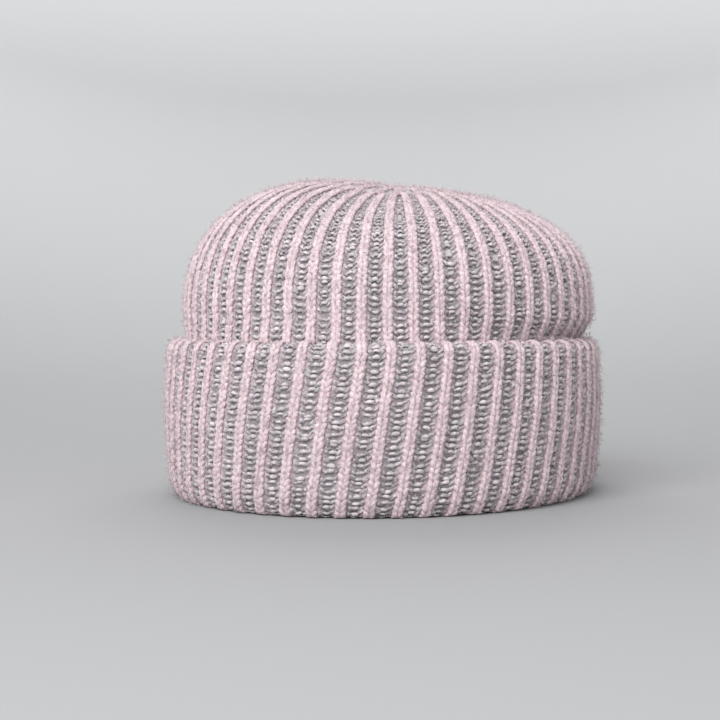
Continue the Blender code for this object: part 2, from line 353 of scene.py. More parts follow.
    def dent(self, turn: np.ndarray, angle: np.ndarray) -> np.ndarray:
        """Depth of all dents together, each a bell curve round the hat and up the crown's top.

        Args:
            turn: turns round the ellipse, in radians.
            angle: angles up the crown's top, in degrees.

        Returns:
            Depths in metres.
        """
        total = np.zeros(np.broadcast_shapes(turn.shape, angle.shape))
        from_front = np.degrees(turn) + 90.0
        for dent in DENTS:
            apart = np.mod(from_front - dent.turn + 180.0, 360.0) - 180.0
            bell = (apart / dent.turn_reach) ** 2 + ((angle - dent.angle) / dent.angle_reach) ** 2
            total = total + dent.depth * self.dent_depth * np.exp(-0.5 * bell)
        return total

    def crown_side(self, share: np.ndarray, start: float, steps: int, inset: float) -> np.ndarray:
        """Lower part of the crown, from inside the cuff up to its widest level.

        It leans out in a line up to the cuff's edge, and then by an eased step to the power swell_power.

        Args:
            share: places round the hat.
            start: height of its lower end.
            steps: number of stations.
            inset: how far inside the outside it lies.

        Returns:
            Points, round the hat by stations.
        """
        ups = np.linspace(start, self.widest_height, steps)
        climbed = np.clip((ups - self.lip_height) / (self.neck_height - self.lip_height), 0.0, 1.0)
        swelled = ease((ups - self.neck_height) / (self.widest_height - self.neck_height)) ** self.swell_power
        low = spread(even(0.0), self.neck_out.plus(-inset), climbed)
        return self.band(share, low + np.array(self.swell) * swelled[:, None], ups, np.ones(steps))

    def crown_top(self, share: np.ndarray, steps: int, inset: float) -> np.ndarray:
        """Top of the crown: a superellipse over its widest ring, drawn in to the gather, higher on the left.

        Args:
            share: places round the hat.
            steps: stations from the widest level to the gather's ring.
            inset: how far inside the outside it lies.

        Returns:
            Points, round the hat by stations: sideways the cosine and upwards the sine of the angle, each
            to the power 2 over the shoulder's roundness, less the dents. The top leans by top_lean.
        """
        angle = 90.0 * np.linspace(0.0, 1.0, steps) ** self.crowding
        rise = np.radians(angle)[None, :]
        turn = self.turn_at(share, 1.0)
        points, normals = self.opening(turn)
        widest = np.array(self.neck_out.plus(self.swell).plus(-inset))
        rim = points + normals * self.round_hat(widest, turn)[:, None]
        power = 2.0 / self.round_hat(np.array(self.shoulders), turn)[:, None]
        narrow = np.maximum(np.cos(rise), 0.0) ** power
        climb = np.sin(rise) ** power
        gather = unit(rim) * self.gather_radius + np.array(self.gather_middle)
        flat = gather[:, None] + (rim - gather)[:, None] * narrow[..., None]
        height = self.widest_height + (self.crown_height - inset - self.widest_height) * climb
        height = height - self.top_lean * climb * flat[..., 0] / self.half_width
        push = self.dent(turn[:, None], angle[None, :])
        flat = flat - normals[:, None] * (push * np.cos(rise))[..., None]
        return np.concatenate([flat, (height - push * np.sin(rise))[..., None]], axis=-1)

    def gather(self, ring: np.ndarray, steps: int, inset: float) -> np.ndarray:
        """The puckered middle of the top: from the gather's ring inwards and down, in a cosine's curve.

        Args:
            ring: points of the ring, round the hat.
            steps: number of stations.
            inset: how far inside the outside it lies.

        Returns:
            Points, round the hat by stations, that stop just short of the middle.
        """
        way = np.linspace(0.0, self.gather_reach, steps)[None, :, None]
        share = np.concatenate([way, way, 0.5 - 0.5 * np.cos(np.pi * way)], axis=-1)
        return ring[:, None] + (self.gather_tip(inset) - ring)[:, None] * share

    def gather_tip(self, inset: float) -> np.ndarray:
        """Lowest point of the gather, in its middle."""
        return np.array([*self.gather_middle, self.crown_height - self.gather_dip - inset])

    def crown_skin(self, share: np.ndarray, start: float, steps: int, inset: float = 0.0) -> np.ndarray:
        """Whole outside (or, inset, inside) of the crown from a height inside the cuff to the gather.

        Args:
            share: places round the hat.
            start: height of its lower end.
            steps: stations on the top; the side has a fifth and the gather a tenth of them.
            inset: how far inside the outside it lies.

        Returns:
            Points, round the hat by stations.
        """
        side = self.crown_side(share, start, steps // 5, inset)
        top = self.crown_top(share, steps, inset)
        middle = self.gather(top[:, -1], steps // 10, inset)
        return np.concatenate([side, top[:, 1:], middle[:, 1:]], axis=1)


@dataclass
class Stitches:
    """Places of many stitches: round the hat, along the ribs, and the half width of their column.

    pitch is the distance from one row of stitches to the next.
    """

    share: np.ndarray
    way: np.ndarray
    half: np.ndarray
    pitch: float

    def only(self, chosen: np.ndarray) -> "Stitches":
        """The chosen stitches alone."""
        return Stitches(self.share[chosen], self.way[chosen], self.half[chosen], self.pitch)

    def between(self, low: float, high: float) -> "Stitches":
        """The stitches on a stretch of the ribs."""
        return self.only((self.way >= low) & (self.way < high))

    @staticmethod
    def joined(several: list["Stitches"]) -> "Stitches":
        """All stitches of several sets together."""
        arrays = zip(*((one.share, one.way, one.half) for one in several))
        return Stitches(*(np.concatenate(parts) for parts in arrays), several[0].pitch)


class Cloth:
    """A smooth surface of the hat, kept as a fine grid of points and outward directions.

    One side of the grid runs round the hat as a share of the whole. The other runs along the ribs as a
    share of each rib's own length, so that rows of stitches are evenly spaced along every rib.
    """

    stations: int = 420
    floor_blend: float = 1.3 * MM

    def __init__(self, lines: np.ndarray) -> None:
        """Space the stations evenly along every line and find the outward directions.

        Points between a line's own are blended straight, for all lines in one run: a number added to each
        line's shares holds it apart from the others. An outward direction is the cross product of a step
        round the hat and one along the rib.

        Args:
            lines: points, round the hat by stations, closed round the hat.
        """
        count = len(lines)
        steps = np.linalg.norm(np.diff(lines, axis=1), axis=2)
        lengths = np.concatenate([np.zeros((count, 1)), np.cumsum(steps, axis=1)], axis=1)
        self.length = float(lengths[:, -1].mean())
        apart = 2.0 * np.arange(count)[:, None]
        known = (lengths / lengths[:, -1:] + apart).ravel()
        wanted = (np.linspace(0.0, 1.0, self.stations)[None, :] + apart).ravel()
        axes = [np.interp(wanted, known, lines[..., axis].ravel()) for axis in range(3)]
        self.points = np.stack(axes, axis=-1).reshape(count, self.stations, 3)
        across = (np.roll(self.points, -1, axis=0) - np.roll(self.points, 1, axis=0)) * (0.5 * count)
        self.normals = unit(np.cross(across, np.gradient(self.points, axis=1)))
        self.widths = np.linalg.norm(across, axis=-1)[..., None]

    def sample(self, values: np.ndarray, share: np.ndarray, way: np.ndarray) -> np.ndarray:
        """Values of a grid between its stations, by straight blending both ways.

        Args:
            values: a grid of the cloth, with a last axis.
            share: places round the hat, any number.
            way: shares of the ribs' length, held between 0 and 1.

        Returns:
            Values in the shape of share, with the grid's last axis.
        """
        count = len(values)
        column = np.mod(share, 1.0) * count
        row = np.clip(way, 0.0, 1.0) * (self.stations - 1)
        first = np.floor(column).astype(int)
        low = np.minimum(np.floor(row).astype(int), self.stations - 2)
        aside = (column - first)[..., None]
        above = (row - low)[..., None]
        first = first % count
        second = (first + 1) % count
        bottom = values[first, low] * (1.0 - aside) + values[second, low] * aside
        top = values[first, low + 1] * (1.0 - aside) + values[second, low + 1] * aside
        return bottom * (1.0 - above) + top * above

    def width(self, share: np.ndarray, way: np.ndarray) -> np.ndarray:
        """Metres that one whole turn would be at this place."""
        return self.sample(self.widths, share, way)[..., 0]

    def place(self, share: np.ndarray, way: np.ndarray, height: np.ndarray) -> np.ndarray:
        """Points at a height over the cloth, pressed flat where they would go below the floor.

        Args:
            share: places round the hat.
            way: shares of the ribs' length.
            height: distances out from the cloth.

        Returns:
            Points. A height under floor_blend becomes floor_blend times e to the power of its share of
            floor_blend less one, so nothing reaches the floor.
        """
        normals = unit(self.sample(self.normals, share, way))
        points = self.sample(self.points, share, way) + normals * height[..., None]
        under = np.minimum(points[..., 2] / self.floor_blend - 1.0, 0.0)
        points[..., 2] = np.where(under < 0.0, self.floor_blend * np.exp(under), points[..., 2])
        return points

    def carry(self, stitches: Stitches, local: np.ndarray) -> np.ndarray:
        """Carry each stitch's own points, in metres across, along and out from it, onto the cloth.

        Args:
            stitches: the places that the points are counted from.
            local: points, stitches by vertices.

        Returns:
            Points of all stitches, one after the other.
        """
        share, way = stitches.share[:, None], stitches.way[:, None]
        across = share + local[..., 0] / self.width(share, way)
        return self.place(across, way + local[..., 1] / self.length, local[..., 2]).reshape(-1, 3)


@dataclass(frozen=True)
class RibPattern:
    """Sizes of the rib: pink columns of one plump stitch, with a wider sunk grey groove between two."""

    ribs: int = 56
    pink_width: float = 4.4 * MM
    spacing: float = 11.0 * MM
    narrowing: float = 0.45
    row_pitch: float = 2.5 * MM
    least_groove: float = 0.75 * MM

    def pink_half(self, spacing: np.ndarray) -> np.ndarray:
        """Half width of a pink column: the full one times the ribs' spacing, as a share, to a power."""
        return 0.5 * self.pink_width * (spacing / self.spacing) ** self.narrowing


@dataclass(frozen=True)
class RibLayout:
    """Where the stitches of a cloth are: ribs that may merge in pairs towards the gather.

    merges are the ways at which pairs have become one rib, and blend is how long before it they start to
    lean together. wander is how far a rib strays to each side, in waves that each have a number along the
    rib and a share of it. jitter is how much the stitches slip and differ in width.
    """

    pattern: RibPattern
    merges: tuple[float, ...] = ()
    blend: float = 0.10
    wander: float = 0.22 * MM
    waves: tuple[tuple[float, float], ...] = ((2.3, 0.6), (5.1, 0.3), (9.7, 0.2))
    jitter: float = 0.05

    def middles(self, cloth: Cloth, level: int, way: np.ndarray) -> tuple[np.ndarray, np.ndarray, np.ndarray]:
        """Middle and half width of the pink columns after so many merges.

        Before a merge a pair leans together until its two narrowed columns lie side by side.

        Args:
            cloth: the cloth that they lie on.
            level: how often ribs have merged in pairs.
            way: the rows' shares of the ribs' length.

        Returns:
            Middles, half widths and widths of a whole turn, each columns by rows.
        """
        pattern = self.pattern
        count = pattern.ribs // 2**level
        place = (np.arange(count)[:, None] * 2**level + 0.5 * (2**level - 1)) / pattern.ribs
        share = np.broadcast_to(place, (count, len(way)))
        rows = np.broadcast_to(way, share.shape)
        turn_width = cloth.width(share, rows)
        half = pattern.pink_half(turn_width / count)
        if level < len(self.merges):
            to_pair = np.where(np.arange(count)[:, None] % 2 == 0, 0.5, -0.5) / count
            near = ease((rows - self.merges[level] + self.blend) / self.blend)
            apart = np.maximum(0.5 / count * (1.0 - near), 0.5 * half / turn_width)
            share = share + to_pair - np.sign(to_pair) * apart
            half = np.minimum(half, apart * turn_width)
        return share, half, turn_width

    def columns(self, cloth: Cloth, rng: np.random.Generator) -> tuple[Stitches, Stitches]:
        """Lay out all pink and grey stitches.

        A groove lies midway between the edges of two columns, and is left out where it is too narrow.

        Args:
            cloth: the cloth that they lie on.
            rng: source of the small irregularities.

        Returns:
            Stitches of the pink columns and of the grey grooves.
        """
        rows = round(cloth.length / self.pattern.row_pitch)
        pitch = cloth.length / rows
        ways = (np.arange(rows) + 0.5) / rows
        ends = [0.0, *self.merges, 1.0]
        pink, grey = [], []
        for level, (start, end) in enumerate(zip(ends, ends[1:])):
            way = ways[(ways >= start) & (ways < end)]
            share, half, turn_width = self.middles(cloth, level, way)
            share = share + self.strays(len(share), way, rng) / turn_width
            along = np.broadcast_to(way, share.shape)
            pink.append(self.shaken(Stitches(share, along, half, pitch), rows, rng))
            following = np.roll(share, -1, axis=0)
            following[-1] += 1.0
            next_half = np.roll(half, -1, axis=0)
            middle = 0.5 * (share + following)
            middle = middle + 0.5 * (half - next_half) / turn_width
            groove = 0.5 * (following - share) * turn_width - 0.5 * (half + next_half)
            wide = groove > self.pattern.least_groove
            grey.append(self.shaken(Stitches(middle[wide], along[wide], groove[wide], pitch), rows, rng))
        return Stitches.joined(pink), Stitches.joined(grey)

    def strays(self, count: int, way: np.ndarray, rng: np.random.Generator) -> np.ndarray:
        """How far each rib strays sideways: slow sine waves along it, with phases of their own.

        Args:
            count: number of ribs.
            way: the rows' shares of the ribs' length.
            rng: source of the phases.

        Returns:
            Metres, ribs by rows.
        """
        total = np.zeros((count, len(way)))
        for number, part in self.waves:
            phase = rng.uniform(0.0, 2.0 * np.pi, (count, 1))
            total += part * np.sin(2.0 * np.pi * number * way[None, :] + phase)
        return self.wander * total

    def shaken(self, plain: Stitches, rows: int, rng: np.random.Generator) -> Stitches:
        """Give each stitch a small slip along the rib and a small change of width.

        Args:
            plain: the evenly placed stitches, in any shape.
            rows: number of rows along the whole cloth.
            rng: source of both.

        Returns:
            The same stitches in one line.
        """
        way = plain.way + rng.normal(0.0, self.jitter, plain.way.shape) / rows
        half = plain.half * (1.0 + rng.normal(0.0, self.jitter, plain.way.shape))
        return Stitches(plain.share.ravel(), way.ravel(), half.ravel(), plain.pitch)


class Station(NamedTuple):
    """A point along a bent length of yarn.

    across is in half widths of the column, along in rows, height and radius in metres.
    """

    across: float
    along: float
    height: float
    radius: float


@dataclass(frozen=True)
class YarnBend:
    """A short bent length of yarn whose two ends taper to a point.

    sides are the places of its section's vertices, in degrees, and the light scale how much lighter the
    yarn is painted, as a painted highlight; flatness is its thickness over its width, and loose how uneven
    it is from one stitch to the next.
    """

    stations: tuple[Station, ...]
    sides: tuple[float, ...]
    # Scale of the painted light along the yarn: its painted highlight and painted shade
    painted_light_scale: float
    flatness: float
    loose: float


# One leg of a pink stitch, the bump across a groove, and the yarn at the groove's side. Places round the
# yarn are degrees from its right side: the last face is the flat one below.
PINK_LEG = YarnBend(
    stations=(
        Station(0.06, -1.02, -0.10 * MM, 0.0),
        Station(-0.20, -0.52, 0.30 * MM, 1.06 * MM),
        Station(-0.41, 0.02, 0.40 * MM, 1.22 * MM),
        Station(-0.58, 0.56, 0.32 * MM, 1.10 * MM),
        Station(-0.58, 1.06, -0.30 * MM, 0.0),
    ),
    sides=(-22.0, 36.0, 90.0, 144.0, 202.0),
    painted_light_scale=1.0,
    flatness=0.80,
    loose=1.0,
)
GREY_HEAD = YarnBend(
    stations=(
        Station(-0.56, -0.12, -1.30 * MM, 0.0),
        Station(-0.28, 0.00, -0.44 * MM, 0.66 * MM),
        Station(0.00, 0.05, -0.20 * MM, 0.80 * MM),
        Station(0.28, 0.00, -0.44 * MM, 0.66 * MM),
        Station(0.56, -0.12, -1.30 * MM, 0.0),
    ),
    sides=(-22.0, 36.0, 90.0, 144.0, 202.0),
    painted_light_scale=1.45,
    flatness=0.85,
    loose=2.4,
)
GREY_SIDE = YarnBend(
    stations=(
        Station(-0.14, -0.42, -1.50 * MM, 0.0),
        Station(-0.40, -0.22, -1.02 * MM, 0.84 * MM),
        Station(-0.68, 0.00, -0.78 * MM, 1.02 * MM),
        Station(-0.94, 0.24, -0.56 * MM, 0.98 * MM),
        Station(-1.14, 0.56, -0.95 * MM, 0.0),
    ),
    sides=(-20.0, 55.0, 125.0, 200.0),
    painted_light_scale=0.80,
    flatness=0.85,
    loose=2.2,
)


@dataclass
class MeshParts:
    """Arrays of a mesh in the making.

    uvs are corner places by map name, in the order of the quads and then the triangles, and tones are
    values by attribute name, one for each vertex.
    """

    verts: np.ndarray
    quads: np.ndarray
    tris: np.ndarray
    uvs: dict[str, np.ndarray] = field(default_factory=dict)
    tones: dict[str, np.ndarray] = field(default_factory=dict)

    @property
    def triangles(self) -> int:
        """Number of triangles, a quad being two."""
        return 2 * len(self.quads) + len(self.tris)

    @staticmethod
    def joined(several: list["MeshParts"]) -> "MeshParts":
        """One mesh of several, each vertex number moved past those before it.

        Args:
            several: meshes with the same maps and tones.

        Returns:
            The joined mesh.
        """
        starts = np.cumsum([0] + [len(one.verts) for one in several[:-1]])
        uvs = {}
        for name in several[0].uvs:
            quad_part = [one.uvs[name][: 4 * len(one.quads)] for one in several]
            tri_part = [one.uvs[name][4 * len(one.quads) :] for one in several]
            uvs[name] = np.concatenate(quad_part + tri_part)
        return MeshParts(
            np.concatenate([one.verts for one in several]),
            np.concatenate([one.quads + start for one, start in zip(several, starts)]),
            np.concatenate([one.tris + start for one, start in zip(several, starts)]),
            uvs,
            {name: np.concatenate([one.tones[name] for one in several]) for name in several[0].tones},
        )

    def piece(self, name: str, material: bpy.types.Material) -> bpy.types.Object:
        """Make a smooth-shaded object at the origin.

        Args:
            name: name of the piece.
            material: its finish.

        Returns:
            The new object, linked to the scene.
        """
        data = bpy.data.meshes.new(name)
        corners = np.concatenate([self.quads.ravel(), self.tris.ravel()]).astype(np.int32)
        quad_starts = 4 * np.arange(len(self.quads))
        tri_starts = 4 * len(self.quads) + 3 * np.arange(len(self.tris))
        data.vertices.add(len(self.verts))
        data.vertices.foreach_set("co", self.verts.astype(np.float32).ravel())
        data.loops.add(len(corners))
        data.loops.foreach_set("vertex_index", corners)
        data.polygons.add(len(self.quads) + len(self.tris))
        data.polygons.foreach_set("loop_start", np.concatenate([quad_starts, tri_starts]).astype(np.int32))
        data.update(calc_edges=True)
        for map_name, places in self.uvs.items():
            data.uv_layers.new(name=map_name).uv.foreach_set("vector", places.astype(np.float32).ravel())
        for tone_name, values in self.tones.items():
            layer = data.attributes.new(tone_name, "FLOAT", "POINT")
            layer.data.foreach_set("value", values.astype(np.float32))
        data.shade_smooth()
        data.materials.append(material)
        made = bpy.data.objects.new(name, data)
        bpy.context.scene.collection.objects.link(made)
        return made


def corner_places(*corners: tuple[np.ndarray | float, np.ndarray | float]) -> np.ndarray:
    """Map places of many faces: for each corner in turn, its place across and its place along."""
    places = [np.stack(np.broadcast_arrays(*corner), axis=-1) for corner in corners]
    return np.stack(places, axis=-2).reshape(-1, 2)


def yarn_maps(
    patterns: tuple[np.ndarray, ...], girth: float, length: np.ndarray, rng: np.random.Generator
) -> dict[str, np.ndarray]:
    """Both maps of many like shapes: a yarn map round and along each, and a bake map of square cells.

    Args:
        patterns: corner places of one shape between 0 and 1, for its quads and for its triangles.
        girth: millimetres round the shape.
        length: millimetres along each shape.
        rng: source of each shape's start along the yarn map.

    Returns:
        Corner places of all quads, and then of all triangles, by map name.
    """
    count = len(length)
    start = rng.uniform(0.0, MAP_STARTS, count)
    side = int(np.ceil(np.sqrt(count)))
    number = np.arange(count)
    cell = np.stack([number % side, number // side], axis=-1)[:, None, :]
    metric, baked = [], []
    for pattern in patterns:
        around = np.broadcast_to(girth * pattern[None, :, 0], (count, len(pattern)))
        along = pattern[None, :, 1] * length[:, None] + start[:, None]
        metric.append(np.stack([around, along], axis=-1).reshape(-1, 2))
        placed = (cell + CELL_MARGIN + (1.0 - 2.0 * CELL_MARGIN) * pattern[None]) / side
        baked.append(placed.reshape(-1, 2))
    return {YARN_MAP: np.concatenate(metric), BAKE_MAP: np.concatenate(baked)}


@dataclass(frozen=True)
class YarnLayer:
    """Lays a bent length of yarn at every stitch of a set.

    A yarn's thickness follows its column's width to the power thickness_power. uneven is how much the
    yarns differ in swing, slip, height and thickness, which stays between thinnest and thickest. girth is
    millimetres round the yarn on its map. The last three are painted light: how light its sides are
    painted, how much lighter its top is painted as a painted highlight, and the painted shade of its ends.
    """

    cloth: Cloth
    pattern: RibPattern
    thickness_power: float = 0.6
    uneven: float = 0.06
    thinnest: float = 0.7
    thickest: float = 1.3
    girth: float = 6.0
    # Painted light: painted shade at the sides and ends of each yarn, and a painted highlight on its top
    painted_side_light: float = 0.6
    painted_top_light: float = 0.4
    painted_end_light: float = 0.3

    def pink(self, stitches: Stitches, rng: np.random.Generator) -> MeshParts:
        """Both legs of each pink stitch, a V that points down the rib."""
        half = 0.5 * self.pattern.pink_width
        return MeshParts.joined(self.both_sides(stitches, PINK_LEG, half, rng))

    def grey(self, stitches: Stitches, hidden_end: float, rng: np.random.Generator) -> MeshParts:
        """The bump across the groove at each grey stitch, and the yarn at both its sides where it shows.

        Args:
            stitches: the stitches of the grooves.
            hidden_end: the way up to which the sides' yarn is left out.
            rng: source of each stitch's tone and small swing.

        Returns:
            The mesh of all three.
        """
        half = 0.5 * self.pattern.spacing - 0.5 * self.pattern.pink_width
        heads = self.lay(stitches, GREY_HEAD, False, half, rng)
        flanked = stitches.only(stitches.way > hidden_end)
        return MeshParts.joined([heads, *self.both_sides(flanked, GREY_SIDE, half, rng)])

    def both_sides(
        self, stitches: Stitches, bend: YarnBend, usual_half: float, rng: np.random.Generator
    ) -> list[MeshParts]:
        """Lay a bend at each stitch, and then its mirror image."""
        return [self.lay(stitches, bend, mirrored, usual_half, rng) for mirrored in (False, True)]

    def lay(
        self, stitches: Stitches, bend: YarnBend, mirrored: bool, usual_half: float, rng: np.random.Generator
    ) -> MeshParts:
        """Bend the yarn at each stitch, sweep its section along it, and carry all of it onto the cloth.

        Each station is turned by a small swing and slipped along the rib, and its height and radius follow
        the column's width.

        Args:
            stitches: where the bends go.
            bend: their shape.
            mirrored: turn it round to the column's other side.
            usual_half: half width of a full column, where the yarn has its full thickness.
            rng: source of each stitch's tone and small swing.

        Returns:
            The mesh, with a yarn map in millimetres, a bake map, a random tone of each stitch, and painted
            light: a painted highlight on its top and painted shade at its sides and ends.
        """
        table = np.array(bend.stations)
        count, rings, sides = len(stitches.share), len(table) - 2, len(bend.sides)
        size = (stitches.half / usual_half) ** self.thickness_power
        side = -1.0 if mirrored else 1.0
        swing, slip, lift, plump = bend.loose * self.uneven * rng.normal(0.0, 1.0, (4, count, 1))
        across = (side * table[:, 0] + swing * table[:, 1]) * stitches.half[:, None]
        along = (table[:, 1] + swing * side * table[:, 0] + slip) * stitches.pitch
        height = table[:, 2] * size[:, None] + lift * MM
        middles = np.stack([across, along, height], axis=-1)
        radius = table[:, 3] * size[:, None] * np.clip(1.0 + plump, self.thinnest, self.thickest)
        local = self.swept(middles, radius, bend)
        # Painted light: ring vertices higher round the yarn are painted lighter as a painted highlight, the
        # sides and two ends darker as painted shade
        light = np.tile(self.painted_side_light + self.painted_top_light * np.sin(np.radians(bend.sides)), rings)
        tones = {
            "tone": np.repeat(rng.random(count), local.shape[1]),
            "exposed": np.tile(np.append(light, [self.painted_end_light, self.painted_end_light]) * bend.painted_light_scale, count),
        }
        length = np.linalg.norm(np.diff(middles, axis=1), axis=-1).sum(axis=1) / MM
        uvs = yarn_maps(self.patterns(rings, sides), self.girth, length, rng)
        return MeshParts(self.cloth.carry(stitches, local), *self.faces(count, rings, sides), uvs, tones)

    @staticmethod
    def swept(middles: np.ndarray, radius: np.ndarray, bend: YarnBend) -> np.ndarray:
        """Vertices of the yarns: rings round the inner stations, and then the two end points.

        Each ring is the station's middle, plus its radius times the cosine of the side's angle sideways
        and the sine outwards, square to the bend.

        Args:
            middles: points of the stations, yarns by stations.
            radius: their radii.
            bend: the bend's section.

        Returns:
            Points, yarns by vertices.
        """
        sideways, outwards = square_to(unit(np.gradient(middles, axis=1))[:, 1:-1])
        angles = np.radians(bend.sides)[:, None]
        width, thickness = np.cos(angles), bend.flatness * np.sin(angles)
        section = width * sideways[:, :, None] + thickness * outwards[:, :, None]
        rounds = middles[:, 1:-1, None] + section * radius[:, 1:-1, None, None]
        return np.concatenate([rounds.reshape(len(middles), -1, 3), middles[:, [0, -1]]], axis=1)

    @staticmethod
    def faces(count: int, rings: int, sides: int) -> tuple[np.ndarray, np.ndarray]:
        """Faces of many closed yarns, outwards.

        Args:
            count: number of yarns.
            rings: rings of each.
            sides: vertices of a ring; the two end points follow the rings.

        Returns:
            Quads between the rings, and triangles round the two points.
        """
        per_yarn = rings * sides + 2
        ring = np.arange(rings - 1)[:, None] * sides
        here = np.arange(sides)
        after = (here + 1) % sides
        last = (rings - 1) * sides
        quads = np.stack([ring + here, ring + sides + here, ring + sides + after, ring + after], axis=-1)
        first_end = np.stack([np.full(sides, per_yarn - 2), here, after], axis=-1)
        second_end = np.stack([np.full(sides, per_yarn - 1), last + after, last + here], axis=-1)
        starts = np.arange(count)[:, None, None] * per_yarn
        tris = np.concatenate([first_end, second_end])[None] + starts
        return (quads.reshape(1, -1, 4) + starts).reshape(-1, 4), tris.reshape(-1, 3)

    @staticmethod
    def patterns(rings: int, sides: int) -> tuple[np.ndarray, np.ndarray]:
        """Map places of one yarn between 0 and 1, round it and along it, in the order of its faces.

        Args:
            rings: rings of the yarn.
            sides: vertices of a ring.

        Returns:
            Corner places of its quads, and of its triangles.
        """
        left = np.arange(sides)[None, :] / sides
        right, middle = left + 1.0 / sides, left + 0.5 / sides
        level = ((np.arange(rings) + 1.0) / (rings + 1.0))[:, None]
        low, high = level[:-1], level[1:]
        quads = corner_places((left, low), (left, high), (right, high), (right, low))
        first_end = corner_places((middle, 0.0), (left, level[0]), (right, level[0]))
        second_end = corner_places((middle, 1.0), (right, level[-1]), (left, level[-1]))
        return quads, np.concatenate([first_end, second_end])


@dataclass(frozen=True)
class Fuzz:
    """Fine brushed fibres that stand off the yarn, bent in the middle and tapered at both ends.

    Angles are in degrees: steepest and flattest above the cloth for the lower half, droop is how much
    flatter the upper half lies, and sway how far it may turn aside. spread is that of the lengths'
    logarithm. Roots reach aside by up to aside half widths, where the yarn is lower by side_drop of its
    height, and lie root_depth inside it. tone_reach is the highest tone of a fibre, and girth is millimetres
    round it on its map. The last values are painted light: how light its bend's three vertices, its root
    and its tip are painted, lighter than the yarn as painted light through the fibre and darker at the root
    as painted shade.
    """

    cloth: Cloth
    length: float = 2.7 * MM
    spread: float = 0.40
    longest: float = 5.5 * MM
    radius: float = 0.10 * MM
    steepest: float = 75.0
    flattest: float = 15.0
    droop: float = 40.0
    sway: float = 50.0
    aside: float = 0.95
    side_drop: float = 0.4
    root_depth: float = 0.25 * MM
    tone_reach: float = 0.5
    girth: float = 1.0
    # Painted light of each fibre vertex: painted light through the fibre, painted shade at its root
    exposed: tuple[float, ...] = (1.1, 1.1, 1.1, 0.8, 1.3)

    def grow(self, stitches: Stitches, count: int, height: float, rng: np.random.Generator) -> MeshParts:
        """Grow fibres from places chosen at random among the stitches.

        Each is three vertices round the bend, a root and a tip. Its length is the usual one times e to a
        random power, up to the longest.

        Args:
            stitches: the stitches that they grow from.
            count: number of fibres.
            height: height over the cloth of the yarn that they grow from.
            rng: source of their places, directions, lengths and tones.

        Returns:
            The mesh, with the maps and tones of the yarn's own.
        """
        rooted = stitches.only(rng.integers(0, len(stitches.share), count))
        aside = rng.uniform(-self.aside, self.aside, count)
        along = rng.uniform(-0.5, 0.5, count) * stitches.pitch
        up = height * (1.0 - self.side_drop * aside**2) - self.root_depth
        root = np.stack([aside * rooted.half, along, up], axis=-1)
        length = np.minimum(self.length * np.exp(rng.normal(0.0, self.spread, count)), self.longest)
        turn = rng.uniform(0.0, 360.0, count)
        rise = rng.uniform(self.flattest, self.steepest, count)
        lower = self.direction(turn, rise)
        upper = self.direction(turn + rng.uniform(-self.sway, self.sway, count), rise - self.droop)
        bend = root + 0.5 * length[:, None] * lower
        tip = bend + 0.5 * length[:, None] * upper
        sideways, outwards = square_to(unit(lower + upper))
        angles = np.radians([90.0, 210.0, 330.0])[:, None]
        section = np.cos(angles) * sideways[:, None] + np.sin(angles) * outwards[:, None]
        local = np.concatenate([bend[:, None] + self.radius * section, root[:, None], tip[:, None]], axis=1)
        uvs = yarn_maps((self.pattern(),), self.girth, length / MM, rng)
        # The fibres are painted lighter than the yarn, as painted light through them, and darker at the root,
        # as painted shade
        tones = {
            "tone": np.repeat(self.tone_reach * rng.random(count), len(self.exposed)),
            "exposed": np.tile(self.exposed, count),
        }
        faces = np.array([[0, 4, 1], [1, 4, 2], [2, 4, 0], [1, 3, 0], [2, 3, 1], [0, 3, 2]])
        tris = faces[None] + len(self.exposed) * np.arange(count)[:, None, None]
        no_quads = np.zeros((0, 4), dtype=int)
        return MeshParts(self.cloth.carry(rooted, local), no_quads, tris.reshape(-1, 3), uvs, tones)

    @staticmethod
    def pattern() -> np.ndarray:
        """Map places of one fibre between 0 and 1: three faces up to its tip, and three down to its root.

        Returns:
            Corner places of its six triangles.
        """
        left = np.tile(np.arange(3) / 3.0, 2)
        tips = np.repeat([1.0, 0.0], 3)
        first, second = left + (1.0 - tips) / 3.0, left + tips / 3.0
        return corner_places((first, 0.5), (left + 1.0 / 6.0, tips), (second, 0.5))

    @staticmethod
    def direction(turn: np.ndarray, rise: np.ndarray) -> np.ndarray:
        """Unit directions that turn over the cloth and rise above it, both in degrees."""
        turn, rise = np.radians(turn), np.radians(rise)
        return np.stack([np.cos(turn) * np.cos(rise), np.sin(turn) * np.cos(rise), np.sin(rise)], axis=-1)


